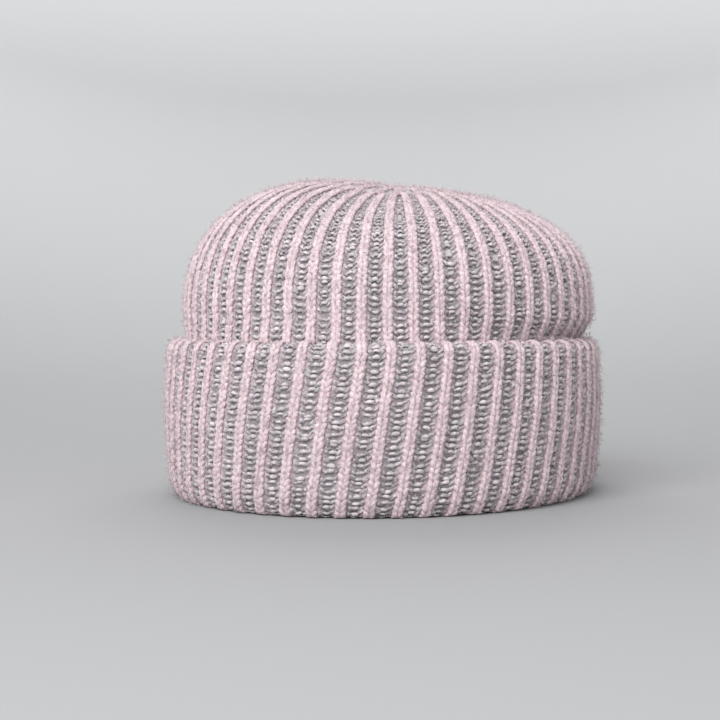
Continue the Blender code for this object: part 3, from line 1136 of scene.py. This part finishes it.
@dataclass(frozen=True)
class Backing:
    """The closed cloth behind the stitches, low in the grooves and raised under the pink columns.

    columns are the vertices across one rib. Half a pink column is ridge_half of a rib, and its edge eases
    off over ridge_edge of one. The cloth has its full height from a way of one over end_rate on. map_size is
    millimetres round the hat and along it on the yarn map, and margin the rim of the bake map.
    """

    pattern: RibPattern
    columns: int = 6
    ridge: float = 0.20 * MM
    groove: float = -1.05 * MM
    ridge_half: float = 0.13
    ridge_edge: float = 0.14
    end_rate: float = 12.0
    map_size: tuple[float, float] = (616.0, 120.0)
    margin: float = 0.004

    def shares(self) -> np.ndarray:
        """Places of the vertices round the hat."""
        count = self.pattern.ribs * self.columns
        return np.arange(count) / count

    def pink(self, rows: int) -> np.ndarray:
        """How pink each vertex is: 1 on the pink columns and 0 in the grooves, with a soft edge.

        Args:
            rows: number of stations along the ribs.

        Returns:
            Values from 0 to 1, round the hat by stations.
        """
        off = np.abs(np.mod(self.shares() * self.pattern.ribs + 0.5, 1.0) - 0.5)
        profile = 1.0 - ease((off - self.ridge_half) / self.ridge_edge)
        return np.broadcast_to(profile[:, None], (len(profile), rows))

    def height(self, pink: np.ndarray, from_end: np.ndarray) -> np.ndarray:
        """Heights over the smooth cloth: from the groove's to the ridge's, and level at the ends."""
        full = self.groove + (self.ridge - self.groove) * pink
        return full * np.minimum(1.0, from_end * self.end_rate)[None, :]

    def points(self, cloth: Cloth, way: np.ndarray, height: np.ndarray) -> np.ndarray:
        """Points at heights over the smooth cloth, round the hat by stations."""
        share = np.broadcast_to(self.shares()[:, None], height.shape)
        return cloth.place(share, np.broadcast_to(way, height.shape), height)

    def mapped(self, parts: MeshParts) -> MeshParts:
        """Give a round mesh a yarn map in millimetres, and its bake map a margin.

        Args:
            parts: a mesh whose bake map runs from 0 to 1 both ways.

        Returns:
            The same mesh with both maps.
        """
        places = parts.uvs[BAKE_MAP]
        parts.uvs = {
            YARN_MAP: places * np.array(self.map_size),
            BAKE_MAP: self.margin + (1.0 - 2.0 * self.margin) * places,
        }
        return parts


def round_mesh(
    grid: np.ndarray,
    tones: dict[str, np.ndarray],
    closed: bool = False,
    poles: tuple[np.ndarray, ...] = (),
) -> MeshParts:
    """Quads of a grid that is closed round its first side, and triangles round its poles.

    Args:
        grid: points, round by stations.
        tones: values by name, in the grid's shape.
        closed: join the last station to the first.
        poles: points that close the ring of the first station, and then that of the last.

    Returns:
        The mesh with a bake map from 0 to 1 both ways, in which the poles' triangles have rows of their own.
    """
    around, stations = grid.shape[:2]
    here = np.arange(around)[:, None]
    after = (here + 1) % around
    row = np.arange(stations if closed else stations - 1)[None, :]
    above = (row + 1) % stations
    margin = 0 if closed else 1
    rows = row.shape[1] + 2 * margin
    left, bottom = here / around, (row + margin) / rows
    right, top, middle = left + 1.0 / around, bottom + 1.0 / rows, left + 0.5 / around
    low, high = here * stations, after * stations
    quads = np.stack([low + row, high + row, high + above, low + above], axis=-1)
    maps = [corner_places((left, bottom), (right, bottom), (right, top), (left, top))]
    tris = [np.zeros((0, 3), dtype=int)]
    verts = [grid.reshape(-1, 3)]
    values = {name: [np.broadcast_to(tone, grid.shape[:2]).ravel()] for name, tone in tones.items()}
    ends = ((0, margin / rows, 0.0), (stations - 1, 1.0 - margin / rows, 1.0))
    for number, (pole, (station, rim, tip)) in enumerate(zip(poles, ends)):
        corners = (low + station, high + station, np.full_like(here, around * stations + number))
        places = ((left, rim), (right, rim), (middle, tip))
        order = (0, 1, 2) if number else (2, 1, 0)
        tris.append(np.hstack([corners[corner] for corner in order]))
        maps.append(corner_places(*(places[corner] for corner in order)))
        verts.append(np.asarray(pole)[None])
        for tone in values.values():
            tone.append([tone[0].reshape(around, stations)[:, station].mean()])
    return MeshParts(
        np.concatenate(verts),
        quads.reshape(-1, 4),
        np.concatenate(tris),
        {BAKE_MAP: np.concatenate(maps)},
        {name: np.concatenate(tone) for name, tone in values.items()},
    )


class Noise(NamedTuple):
    """Settings of a Noise Texture."""

    scale: float
    detail: float
    roughness: float


class Range(NamedTuple):
    """A range of a value, and what its two ends become."""

    low: float
    high: float
    out_low: float = 0.0
    out_high: float = 1.0


class Nodes:
    """Short ways to add and join the nodes of one tree."""

    def __init__(self, tree: bpy.types.NodeTree) -> None:
        """Keep the tree, and empty it."""
        self.tree = tree
        tree.nodes.clear()

    def feed(self, value: Feed, target: Socket) -> None:
        """Give a socket its value.

        Args:
            value: a number or a colour, or a socket to join to it.
            target: the socket that takes it.
        """
        if isinstance(value, Socket):
            self.tree.links.new(value, target)
        else:
            target.default_value = value

    def add(
        self,
        kind: str,
        inputs: dict[str | int, Feed] | None = None,
        **settings: str | bpy.types.NodeTree,
    ) -> bpy.types.Node:
        """Add a node.

        Args:
            kind: its kind.
            inputs: what its inputs take, by name or number.
            settings: its other settings by name.

        Returns:
            The new node.
        """
        node = self.tree.nodes.new(kind)
        for name, value in settings.items():
            setattr(node, name, value)
        for name, value in (inputs or {}).items():
            self.feed(value, node.inputs[name])
        return node

    def math(self, operation: str, first: Feed, second: Feed = 0.0) -> Socket:
        """Add a Math node and give its result."""
        return self.add("ShaderNodeMath", {0: first, 1: second}, operation=operation).outputs[0]

    def noise(self, vector: Socket, noise: Noise) -> Socket:
        """Add a Noise Texture node and give its factor."""
        inputs = {"Vector": vector, **dict(zip(("Scale", "Detail", "Roughness"), noise))}
        return self.add("ShaderNodeTexNoise", inputs).outputs["Fac"]

    def ranged(self, value: Socket, ends: Range) -> Socket:
        """Map a range of a value onto another, held at its ends."""
        names = ("From Min", "From Max", "To Min", "To Max")
        return self.add("ShaderNodeMapRange", {"Value": value, **dict(zip(names, ends))}).outputs["Result"]

    def mix(self, share: Feed, first: Feed, second: Feed) -> Socket:
        """Mix two colours, with a share of the second; the node's sockets 6 and 7 are its colours."""
        return self.add("ShaderNodeMix", {0: share, 6: first, 7: second}, data_type="RGBA").outputs[2]


class FinishNodes(Nodes):
    """Nodes of a material, with its shader in place."""

    def __init__(self, name: str, plain: dict[str, Feed]) -> None:
        """Start a material.

        Args:
            name: its name.
            plain: numbers and colours that are the same all over, by the shader's own sockets.
        """
        self.material = bpy.data.materials.new(name)
        self.material.use_nodes = True
        super().__init__(self.material.node_tree)
        self.shader = self.add("ShaderNodeBsdfPrincipled", plain)
        self.add("ShaderNodeOutputMaterial", {"Surface": self.shader.outputs["BSDF"]})
        self.place = self.add("ShaderNodeTexCoord").outputs["Object"]

    def yarn_map(self) -> Socket:
        """Places round the yarn and along it, in millimetres."""
        return self.add("ShaderNodeUVMap", uv_map=YARN_MAP).outputs["UV"]

    def tone(self, name: str) -> Socket:
        """Value of one of the mesh's own tones."""
        return self.add("ShaderNodeAttribute", attribute_name=name).outputs["Fac"]

    def brushed(self, fibres: bpy.types.NodeTree, yarn_map: Socket) -> bpy.types.bpy_prop_collection:
        """Put in the group for brushed yarn and give its outputs."""
        inputs = {"Yarn map": yarn_map, "Place": self.place}
        return self.add("ShaderNodeGroup", inputs, node_tree=fibres).outputs

    def paint(self, colour: Socket, shade: Socket) -> None:
        """Colour the shader, made lighter or darker by a factor."""
        bright = self.add("ShaderNodeVectorMath", {0: colour, "Scale": shade}, operation="SCALE")
        self.feed(bright.outputs["Vector"], self.shader.inputs["Base Color"])

    def raise_surface(self, height: Socket, strength: float, distance: float) -> None:
        """Let the light see a low relief."""
        bump = self.add("ShaderNodeBump", {"Strength": strength, "Distance": distance, "Height": height})
        self.feed(bump.outputs["Normal"], self.shader.inputs["Normal"])


@dataclass(frozen=True)
class BrushedFibres:
    """Shader group for brushed yarn: fine fibres that run along it and wind slowly round it.

    turn is how far they wind, in radians, and stretch scales the yarn map round the yarn and along it.
    tuft_height is that of the tufts over that of the strands.
    """

    turn: float = 0.42
    stretch: tuple[float, float, float] = (1.3, 0.40, 1.0)
    strands: Noise = Noise(scale=1.6, detail=3.0, roughness=0.6)
    tufts: Noise = Noise(scale=850.0, detail=3.0, roughness=0.7)
    mottle: Noise = Noise(scale=85.0, detail=2.0, roughness=0.5)
    tuft_height: float = 0.7

    def group(self) -> bpy.types.NodeTree:
        """Build the group: the height is the strands plus a share of the tufts, and the tone their mean.

        Returns:
            A group that takes the yarn map in millimetres and Object coordinates, and gives the fibres'
            height and tone, and a slow mottle.
        """
        group = bpy.data.node_groups.new("brushed_fibres", "ShaderNodeTree")
        for name in ("Yarn map", "Place"):
            group.interface.new_socket(name, in_out="INPUT", socket_type="NodeSocketVector")
        for name in ("Height", "Tone", "Mottle"):
            group.interface.new_socket(name, in_out="OUTPUT", socket_type="NodeSocketFloat")
        nodes = Nodes(group)
        given = nodes.add("NodeGroupInput").outputs
        inputs = {"Vector": given["Yarn map"], "Rotation": (0.0, 0.0, self.turn), "Scale": self.stretch}
        wound = nodes.add("ShaderNodeMapping", inputs).outputs["Vector"]
        strands = nodes.noise(wound, self.strands)
        tufts = nodes.noise(given["Place"], self.tufts)
        results = {
            "Height": nodes.math("ADD", strands, nodes.math("MULTIPLY", tufts, self.tuft_height)),
            "Tone": nodes.math("MULTIPLY", nodes.math("ADD", strands, tufts), 0.5),
            "Mottle": nodes.noise(given["Place"], self.mottle),
        }
        nodes.add("NodeGroupOutput", results)
        return group


@dataclass(frozen=True)
class YarnFinish:
    """Brushed cashmere of one colour, heathered, with painted highlight where it stands out and painted shade
    in its crevices.

    tips, body and the painted crease shade are its colours from the outside inwards: tips is the painted
    highlight, and the last is painted shade in the crevices. fleck and cool are those of the heather, whose
    strength is heather. uneven is how much lighter or darker one stitch is than another, and gloss its
    specular level. strand_depth is what the fibres' tone adds to the painted light level, and the ranges
    after it say where one colour gives way to the next.
    """

    name: str
    # tips is the painted highlight colour, and the colour after body is painted shade in the crevices
    tips: Colour
    body: Colour
    painted_crease_shade: Colour
    fleck: Colour
    cool: Colour
    heather: float
    uneven: float
    sheen: float
    sheen_roughness: float = 0.55
    gloss: float = 0.15
    bump: float = 0.8
    bump_depth: float = 0.35 * MM
    roughness: Range = Range(0.2, 0.8, 0.86, 1.0)
    strand_depth: Range = Range(0.42, 0.58, -0.6, 0.6)
    painted_shade_to_body: Range = Range(0.05, 0.65)
    body_to_painted_highlight: Range = Range(0.65, 1.15)
    to_fleck: Range = Range(0.53, 0.63)
    to_cool: Range = Range(0.45, 1.0)
    to_light: Range = Range(0.4, 1.6)

    def material(self, fibres: bpy.types.NodeTree) -> bpy.types.Material:
        """Build the finish: its painted light level picks painted shade, body or painted highlight, then
        heather.

        Args:
            fibres: the group for brushed yarn.

        Returns:
            The material, which reads the piece's yarn map, its tones and Object coordinates.
        """
        plain = {
            "Specular IOR Level": self.gloss,
            "Sheen Weight": self.sheen,
            "Sheen Roughness": self.sheen_roughness,
            "Sheen Tint": self.tips,
        }
        nodes = FinishNodes(self.name, plain)
        detail = nodes.brushed(fibres, nodes.yarn_map())
        tone = nodes.tone("tone")
        # Painted light level plus the fibres' random tone: low picks the painted crease shade, high the
        # painted highlight
        depth = nodes.math("ADD", nodes.tone("exposed"), nodes.ranged(detail["Tone"], self.strand_depth))
        colour = nodes.mix(nodes.ranged(depth, self.painted_shade_to_body), self.painted_crease_shade, self.body)
        colour = nodes.mix(nodes.ranged(depth, self.body_to_painted_highlight), colour, self.tips)
        flecks = nodes.ranged(detail["Tone"], self.to_fleck._replace(out_high=self.heather))
        colour = nodes.mix(flecks, colour, self.fleck)
        cools = nodes.math("MULTIPLY", nodes.ranged(tone, self.to_cool), self.heather)
        colour = nodes.mix(cools, colour, self.cool)
        light = self.to_light._replace(out_low=1.0 - self.uneven, out_high=1.0 + self.uneven)
        nodes.paint(colour, nodes.ranged(nodes.math("ADD", tone, detail["Mottle"]), light))
        nodes.raise_surface(detail["Height"], self.bump, self.bump_depth)
        nodes.feed(nodes.ranged(detail["Tone"], self.roughness), nodes.shader.inputs["Roughness"])
        return nodes.material


# In both finishes tips is a painted highlight and the darkest colour is painted shade in the crevices
PINK_FINISH = YarnFinish(
    name="pink_cashmere",
    tips=(0.80, 0.68, 0.705, 1.0),
    body=(0.645, 0.503, 0.538, 1.0),
    painted_crease_shade=(0.39, 0.24, 0.275, 1.0),
    fleck=(0.82, 0.73, 0.75, 1.0),
    cool=(0.64, 0.50, 0.555, 1.0),
    heather=0.45,
    uneven=0.07,
    sheen=0.7,
)
GREY_FINISH = YarnFinish(
    name="grey_cashmere",
    tips=(0.82, 0.745, 0.77, 1.0),
    body=(0.425, 0.388, 0.409, 1.0),
    painted_crease_shade=(0.125, 0.108, 0.121, 1.0),
    fleck=(0.76, 0.67, 0.70, 1.0),
    cool=(0.28, 0.285, 0.28, 1.0),
    heather=0.7,
    uneven=0.28,
    sheen=0.6,
)


@dataclass(frozen=True)
class ClothFinish:
    """Plain side of the knit behind the stitches: both yarns in stripes, with low rows of loops.

    row_pitch is in the yarn map's millimetres, and row_height that of the rows over that of the fibres.
    """

    name: str = "knit_behind_stitches"
    pink: Colour = (0.70, 0.52, 0.56, 1.0)
    grey: Colour = (0.37, 0.34, 0.355, 1.0)
    row_pitch: float = 2.5
    row_height: float = 0.5
    gloss: float = 0.1
    bump: float = 0.6
    bump_depth: float = 0.4 * MM
    roughness: Range = Range(0.2, 0.8, 0.88, 1.0)
    light: Range = Range(0.25, 0.75, 0.75, 1.2)

    def material(self, fibres: bpy.types.NodeTree) -> bpy.types.Material:
        """Build the finish: its rows are a sine along the yarn map, added to the fibres' height.

        Args:
            fibres: the group for brushed yarn.

        Returns:
            The material, which reads the piece's yarn map, its pink tone and Object coordinates.
        """
        nodes = FinishNodes(self.name, {"Specular IOR Level": self.gloss})
        yarn_map = nodes.yarn_map()
        detail = nodes.brushed(fibres, yarn_map)
        colour = nodes.mix(nodes.tone("pink"), self.grey, self.pink)
        nodes.paint(colour, nodes.ranged(detail["Tone"], self.light))
        along = nodes.add("ShaderNodeSeparateXYZ", {0: yarn_map}).outputs["Y"]
        rows = nodes.math("SINE", nodes.math("MULTIPLY", along, 2.0 * np.pi / self.row_pitch))
        relief = nodes.math("ADD", nodes.math("MULTIPLY", rows, self.row_height), detail["Height"])
        nodes.raise_surface(relief, self.bump, self.bump_depth)
        nodes.feed(nodes.ranged(detail["Tone"], self.roughness), nodes.shader.inputs["Roughness"])
        return nodes.material


@dataclass(frozen=True)
class Finishes:
    """All materials of the hat: those of the two yarns, and that of the cloth behind them."""

    yarns: dict[Yarn, bpy.types.Material]
    cloth: bpy.types.Material

    @classmethod
    def build(cls) -> "Finishes":
        """Build each finish once.

        Returns:
            The finishes.
        """
        fibres = BrushedFibres().group()
        yarns = {Yarn.PINK: PINK_FINISH.material(fibres), Yarn.GREY: GREY_FINISH.material(fibres)}
        return cls(yarns, ClothFinish().material(fibres))


class Stretch(NamedTuple):
    """A named stretch of a part's ribs, between two shares of their length."""

    name: str
    low: float
    high: float


@dataclass
class KnitPart(ABC):
    """A part of the hat: its cloth behind, its stitches in both yarns, and its brushed fibres.

    around is the number of lines of its smooth cloth, and merges are the ways at which its ribs merge in
    pairs. The grey yarn at the grooves' sides starts at the way hidden_end, and the fibres at bare_end.
    pink_height is how high over the smooth cloth the pink yarn's fibres start; the grey yarn's start level
    with it. made holds the triangles of each piece.
    """

    form: HatForm
    pattern: RibPattern
    finishes: Finishes
    node: str = ""
    around: int = 1120
    stretches: tuple[Stretch, ...] = ()
    merges: tuple[float, ...] = ()
    hidden_end: float = 0.0
    bare_end: float = 0.0
    pink_fibres: int = 0
    grey_fibres: int = 0
    pink_height: float = 1.3 * MM
    made: dict[str, int] = field(default_factory=dict)

    @abstractmethod
    def skin(self, shares: np.ndarray) -> np.ndarray:
        """Lines of the smooth cloth that the stitches lie on."""

    @abstractmethod
    def build_cloth(self) -> None:
        """Build the closed cloth behind the stitches."""

    def build(self, rng: np.random.Generator) -> None:
        """Build the cloth behind, both yarns on each stretch, and both yarns' fibres.

        Args:
            rng: source of the small irregularities.
        """
        self.build_cloth()
        cloth = Cloth(self.skin(np.arange(self.around) / self.around))
        pink, grey = RibLayout(self.pattern, self.merges).columns(cloth, rng)
        layer = YarnLayer(cloth, self.pattern)
        for name, low, high in self.stretches:
            self.add(f"{name}_pink_stitches", layer.pink(pink.between(low, high), rng), Yarn.PINK)
            parts = layer.grey(grey.between(low, high), self.hidden_end, rng)
            self.add(f"{name}_grey_stitches", parts, Yarn.GREY)
        fuzz = Fuzz(cloth)
        bare = pink.only(pink.way > self.bare_end)
        self.add("pink_fibres", fuzz.grow(bare, self.pink_fibres, self.pink_height, rng), Yarn.PINK)
        bare = grey.only(grey.way > self.bare_end)
        self.add("grey_fibres", fuzz.grow(bare, self.grey_fibres, 0.0, rng), Yarn.GREY)

    def add(self, name: str, parts: MeshParts, yarn: Yarn, finish: bpy.types.Material | None = None) -> None:
        """Add a piece that rides on the hat in place of the part's CAD node, which it hides, in a yarn's
        finish.

        Args:
            name: its name after the part's own.
            parts: its mesh.
            yarn: the yarn whose finish it takes, when no finish is given.
            finish: its material, if it isn't the yarn's own.
        """
        piece = parts.piece(f"{self.node}_{name}", finish or self.finishes.yarns[yarn])
        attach(piece, "root")
        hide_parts(self.node)
        self.made[piece.name] = parts.triangles


@dataclass
class Cuff(KnitPart):
    """The turned-up edge: its closed backing, and its stitches from inside the rim to the top edge.

    line_steps are stations on each stretch of the skin's line, and rows and lining_steps those of the
    backing's outside and of each stretch of its inside.
    """

    node: str = "cuff"
    stretches: tuple[Stretch, ...] = (Stretch("roll", 0.0, 0.43), Stretch("face", 0.43, 1.0))
    hidden_end: float = 0.20
    bare_end: float = 0.28
    pink_fibres: int = 10500
    grey_fibres: int = 9300
    line_steps: int = 60
    rows: int = 36
    lining_steps: int = 8

    def skin(self, shares: np.ndarray) -> np.ndarray:
        """Lines from the lip inside the rim, round the fold and over the top edge."""
        return self.form.cuff_skin(shares, self.line_steps)

    def build_cloth(self) -> None:
        """Build the closed band behind the stitches, its face sunk below them in the grooves."""
        backing = Backing(self.pattern)
        shares = backing.shares()
        way = np.linspace(0.0, 1.0, self.rows)
        pink = backing.pink(self.rows)
        height = backing.height(pink, np.minimum(way, 1.0 - way))
        outside = backing.points(Cloth(self.skin(shares)), way, height)
        inside = self.form.cuff_lining(shares, self.lining_steps)
        grid = np.concatenate([outside, inside], axis=1)
        tone = np.concatenate([pink, backing.pink(inside.shape[1])], axis=1)
        parts = backing.mapped(round_mesh(grid, {"pink": tone}, closed=True))
        self.add("cloth", parts, Yarn.GREY, self.finishes.cloth)


@dataclass
class Crown(KnitPart):
    """The hollow body of the hat: its closed backing, and its stitches from inside the cuff to the top.

    start is the height at which its stitches begin, line_steps stations on the top of the skin's line, and
    the backing's outside and inside have steps of their own and rows of vertices. lip_gap is how far over
    the lip the backing starts. From stripes_end on, its stripes fade into plain_tone over stripes_fade.
    """

    node: str = "crown"
    stretches: tuple[Stretch, ...] = (Stretch("side", 0.0, 0.45), Stretch("top", 0.45, 1.0))
    merges: tuple[float, ...] = (0.73, 0.865, 0.94)
    bare_end: float = 0.05
    pink_fibres: int = 12800
    grey_fibres: int = 8700
    line_steps: int = 260
    start: float = 0.0640
    lip_gap: float = 0.3 * MM
    outer_steps: int = 90
    inner_steps: int = 60
    outer_rows: int = 34
    inner_rows: int = 22
    stripes_end: float = 0.60
    stripes_fade: float = 0.15
    plain_tone: float = 0.45

    def skin(self, shares: np.ndarray) -> np.ndarray:
        """Lines from inside the cuff up to the gather."""
        return self.form.crown_skin(shares, self.start, self.line_steps)

    def build_cloth(self) -> None:
        """Build the closed double wall behind the stitches, open towards the head."""
        form, backing = self.form, Backing(self.pattern)
        shares = backing.shares()
        low = form.lip_height + self.lip_gap
        outer = Cloth(form.crown_skin(shares, low, self.outer_steps))
        inner = Cloth(form.crown_skin(shares, low, self.inner_steps, form.crown_wall))
        way = np.linspace(0.0, 1.0, self.outer_rows)
        stripes = 1.0 - ease((way - self.stripes_end) / self.stripes_fade)
        pink = self.plain_tone + (backing.pink(self.outer_rows) - self.plain_tone) * stripes[None, :]
        height = backing.height(pink, way)
        outside = backing.points(outer, way, height)
        back = np.linspace(1.0, 0.0, self.inner_rows)
        inside = backing.points(inner, back, np.zeros((len(shares), self.inner_rows)))
        grid = np.concatenate([inside, outside], axis=1)
        tone = np.concatenate([np.broadcast_to(pink[:, :1], inside.shape[:2]), pink], axis=1)
        poles = (form.gather_tip(form.crown_wall), form.gather_tip(-height[0, -1]))
        parts = backing.mapped(round_mesh(grid, {"pink": tone}, poles=poles))
        self.add("cloth", parts, Yarn.PINK, self.finishes.cloth)


class Lamp(NamedTuple):
    """A soft square light: its place, what it points at, its size and its power in watts."""

    name: str
    place: tuple[float, float, float]
    aim: tuple[float, float, float]
    size: float
    power: float


LAMPS = (
    Lamp("key", place=(-0.09, -1.22, 1.02), aim=(0.0, 0.0, 0.08), size=1.0, power=23.8),
    Lamp("back", place=(-0.30, 1.12, 1.20), aim=(0.0, 0.0, 0.08), size=1.2, power=11.0),
)


@dataclass(frozen=True)
class Studio:
    """Pale floor and sweep, soft lights, and the camera at the photograph's side of the hat.

    azimuth and elevation are the camera's, in degrees, and aside and middle say what it points at. The
    floor is level up to the last of floor_rings, and curves up over sweep_run to wall_height. Its colour is
    painted light and shade: it goes to a lighter far tone with the distance from the hat's middle, and to a
    much lighter wall tone with the height, each over its own fade.
    """

    azimuth: float = 16.0
    elevation: float = 1.5
    distance: float = 0.700
    lens: float = 76.3
    sensor: float = 36.0
    aside: float = -0.0115
    middle: float = 0.0590
    around: int = 96
    floor_rings: tuple[float, ...] = (0.02, 0.3, 0.6, 1.0)
    sweep_steps: int = 20
    sweep_run: float = 1.0
    wall_height: float = 0.8
    # The paper's tones are painted light: lighter away from the hat and much lighter up the wall
    floor_tone: Colour = (0.362, 0.364, 0.369, 1.0)
    far_painted_light: Colour = (0.418, 0.422, 0.426, 1.0)
    wall_painted_light: Colour = (0.98, 0.985, 0.99, 1.0)
    painted_light_floor_fade: Range = Range(0.25, 1.3)
    painted_light_wall_fade: Range = Range(0.0, 0.62)
    paper_roughness: float = 0.9
    sky: Colour = (0.97, 0.975, 1.0, 1.0)
    sky_strength: float = 0.50

    def build(self) -> None:
        """Build the floor, the lights, the world and the camera."""
        self.floor().piece("studio_floor", self.paper())
        self.build_lights()
        self.build_camera()

    def floor(self) -> MeshParts:
        """A round floor whose rim curves up into a low wall, all round the hat.

        The sweep is a quarter of an ellipse: out by the sine of its angle and up by one less its cosine.

        Returns:
            Its mesh, without maps.
        """
        turn = 2.0 * np.pi * np.arange(self.around)[:, None] / self.around
        bend = np.linspace(0.0, 0.5 * np.pi, self.sweep_steps)[1:]
        radius = np.append(self.floor_rings, self.floor_rings[-1] + self.sweep_run * np.sin(bend))
        height = np.append(np.zeros(len(self.floor_rings)), self.wall_height * (1.0 - np.cos(bend)))
        grid = np.stack(np.broadcast_arrays(np.cos(turn) * radius, np.sin(turn) * radius, height), axis=-1)
        parts = round_mesh(grid, {}, poles=(np.zeros(3),))
        parts.uvs.clear()
        return parts

    def paper(self) -> bpy.types.Material:
        """Pale paper, painted lighter away from the hat and up the wall: painted light on the backdrop.

        Returns:
            The material.
        """
        nodes = FinishNodes("studio_paper", {"Roughness": self.paper_roughness})
        reach = nodes.add("ShaderNodeVectorMath", {0: nodes.place}, operation="LENGTH").outputs["Value"]
        height = nodes.add("ShaderNodeSeparateXYZ", {0: nodes.place}).outputs["Z"]
        # Painted light: the paper is painted lighter far from the hat and up the wall, standing in for the
        # light's falloff
        tone = nodes.mix(nodes.ranged(reach, self.painted_light_floor_fade), self.floor_tone, self.far_painted_light)
        tone = nodes.mix(nodes.ranged(height, self.painted_light_wall_fade), tone, self.wall_painted_light)
        nodes.feed(tone, nodes.shader.inputs["Base Color"])
        return nodes.material

    def build_lights(self) -> None:
        """Build the lamps, and a pale sky all round."""
        world = bpy.context.scene.world or bpy.data.worlds.new("studio")
        bpy.context.scene.world = world
        world.use_nodes = True
        background = world.node_tree.nodes["Background"]
        background.inputs["Color"].default_value = self.sky
        background.inputs["Strength"].default_value = self.sky_strength
        for lamp in LAMPS:
            light = bpy.data.lights.new(lamp.name, "AREA")
            light.size = lamp.size
            light.energy = lamp.power
            self.point(light, Vector(lamp.place), Vector(lamp.aim) - Vector(lamp.place))

    def build_camera(self) -> None:
        """Build the camera at the photograph's side of the hat, just above the floor."""
        turn, rise = np.radians(self.azimuth), np.radians(self.elevation)
        away = Vector((np.sin(turn) * np.cos(rise), -np.cos(turn) * np.cos(rise), np.sin(rise)))
        lens = bpy.data.cameras.new("camera")
        lens.lens = self.lens
        lens.sensor_width = self.sensor
        aim = Vector((self.aside * np.cos(turn), self.aside * np.sin(turn), self.middle))
        bpy.context.scene.camera = self.point(lens, aim + away * self.distance, -away)
        bpy.context.scene.view_settings.view_transform = "Standard"

    @staticmethod
    def point(data: bpy.types.Light | bpy.types.Camera, place: Vector, way: Vector) -> bpy.types.Object:
        """Put a lamp or the camera in its place, and turn it the way that it looks.

        Args:
            data: the lamp or camera.
            place: where it stands.
            way: the direction in which it looks.

        Returns:
            Its object, linked to the scene.
        """
        made = bpy.data.objects.new(data.name, data)
        made.location = place
        made.rotation_euler = way.to_track_quat("-Z", "Y").to_euler()
        bpy.context.scene.collection.objects.link(made)
        return made


def main() -> None:
    """Build the hat and the studio in order."""
    logging.basicConfig(level=logging.INFO, format="%(message)s")
    rng = np.random.default_rng(SEED)
    form = HatForm.from_frame()
    pattern = RibPattern()
    finishes = Finishes.build()
    for part in (Cuff(form, pattern, finishes), Crown(form, pattern, finishes)):
        part.build(rng)
        for name, triangles in part.made.items():
            log.info("%s: %d triangles", name, triangles)
    Studio().build()


if __name__ == "__main__":
    main()
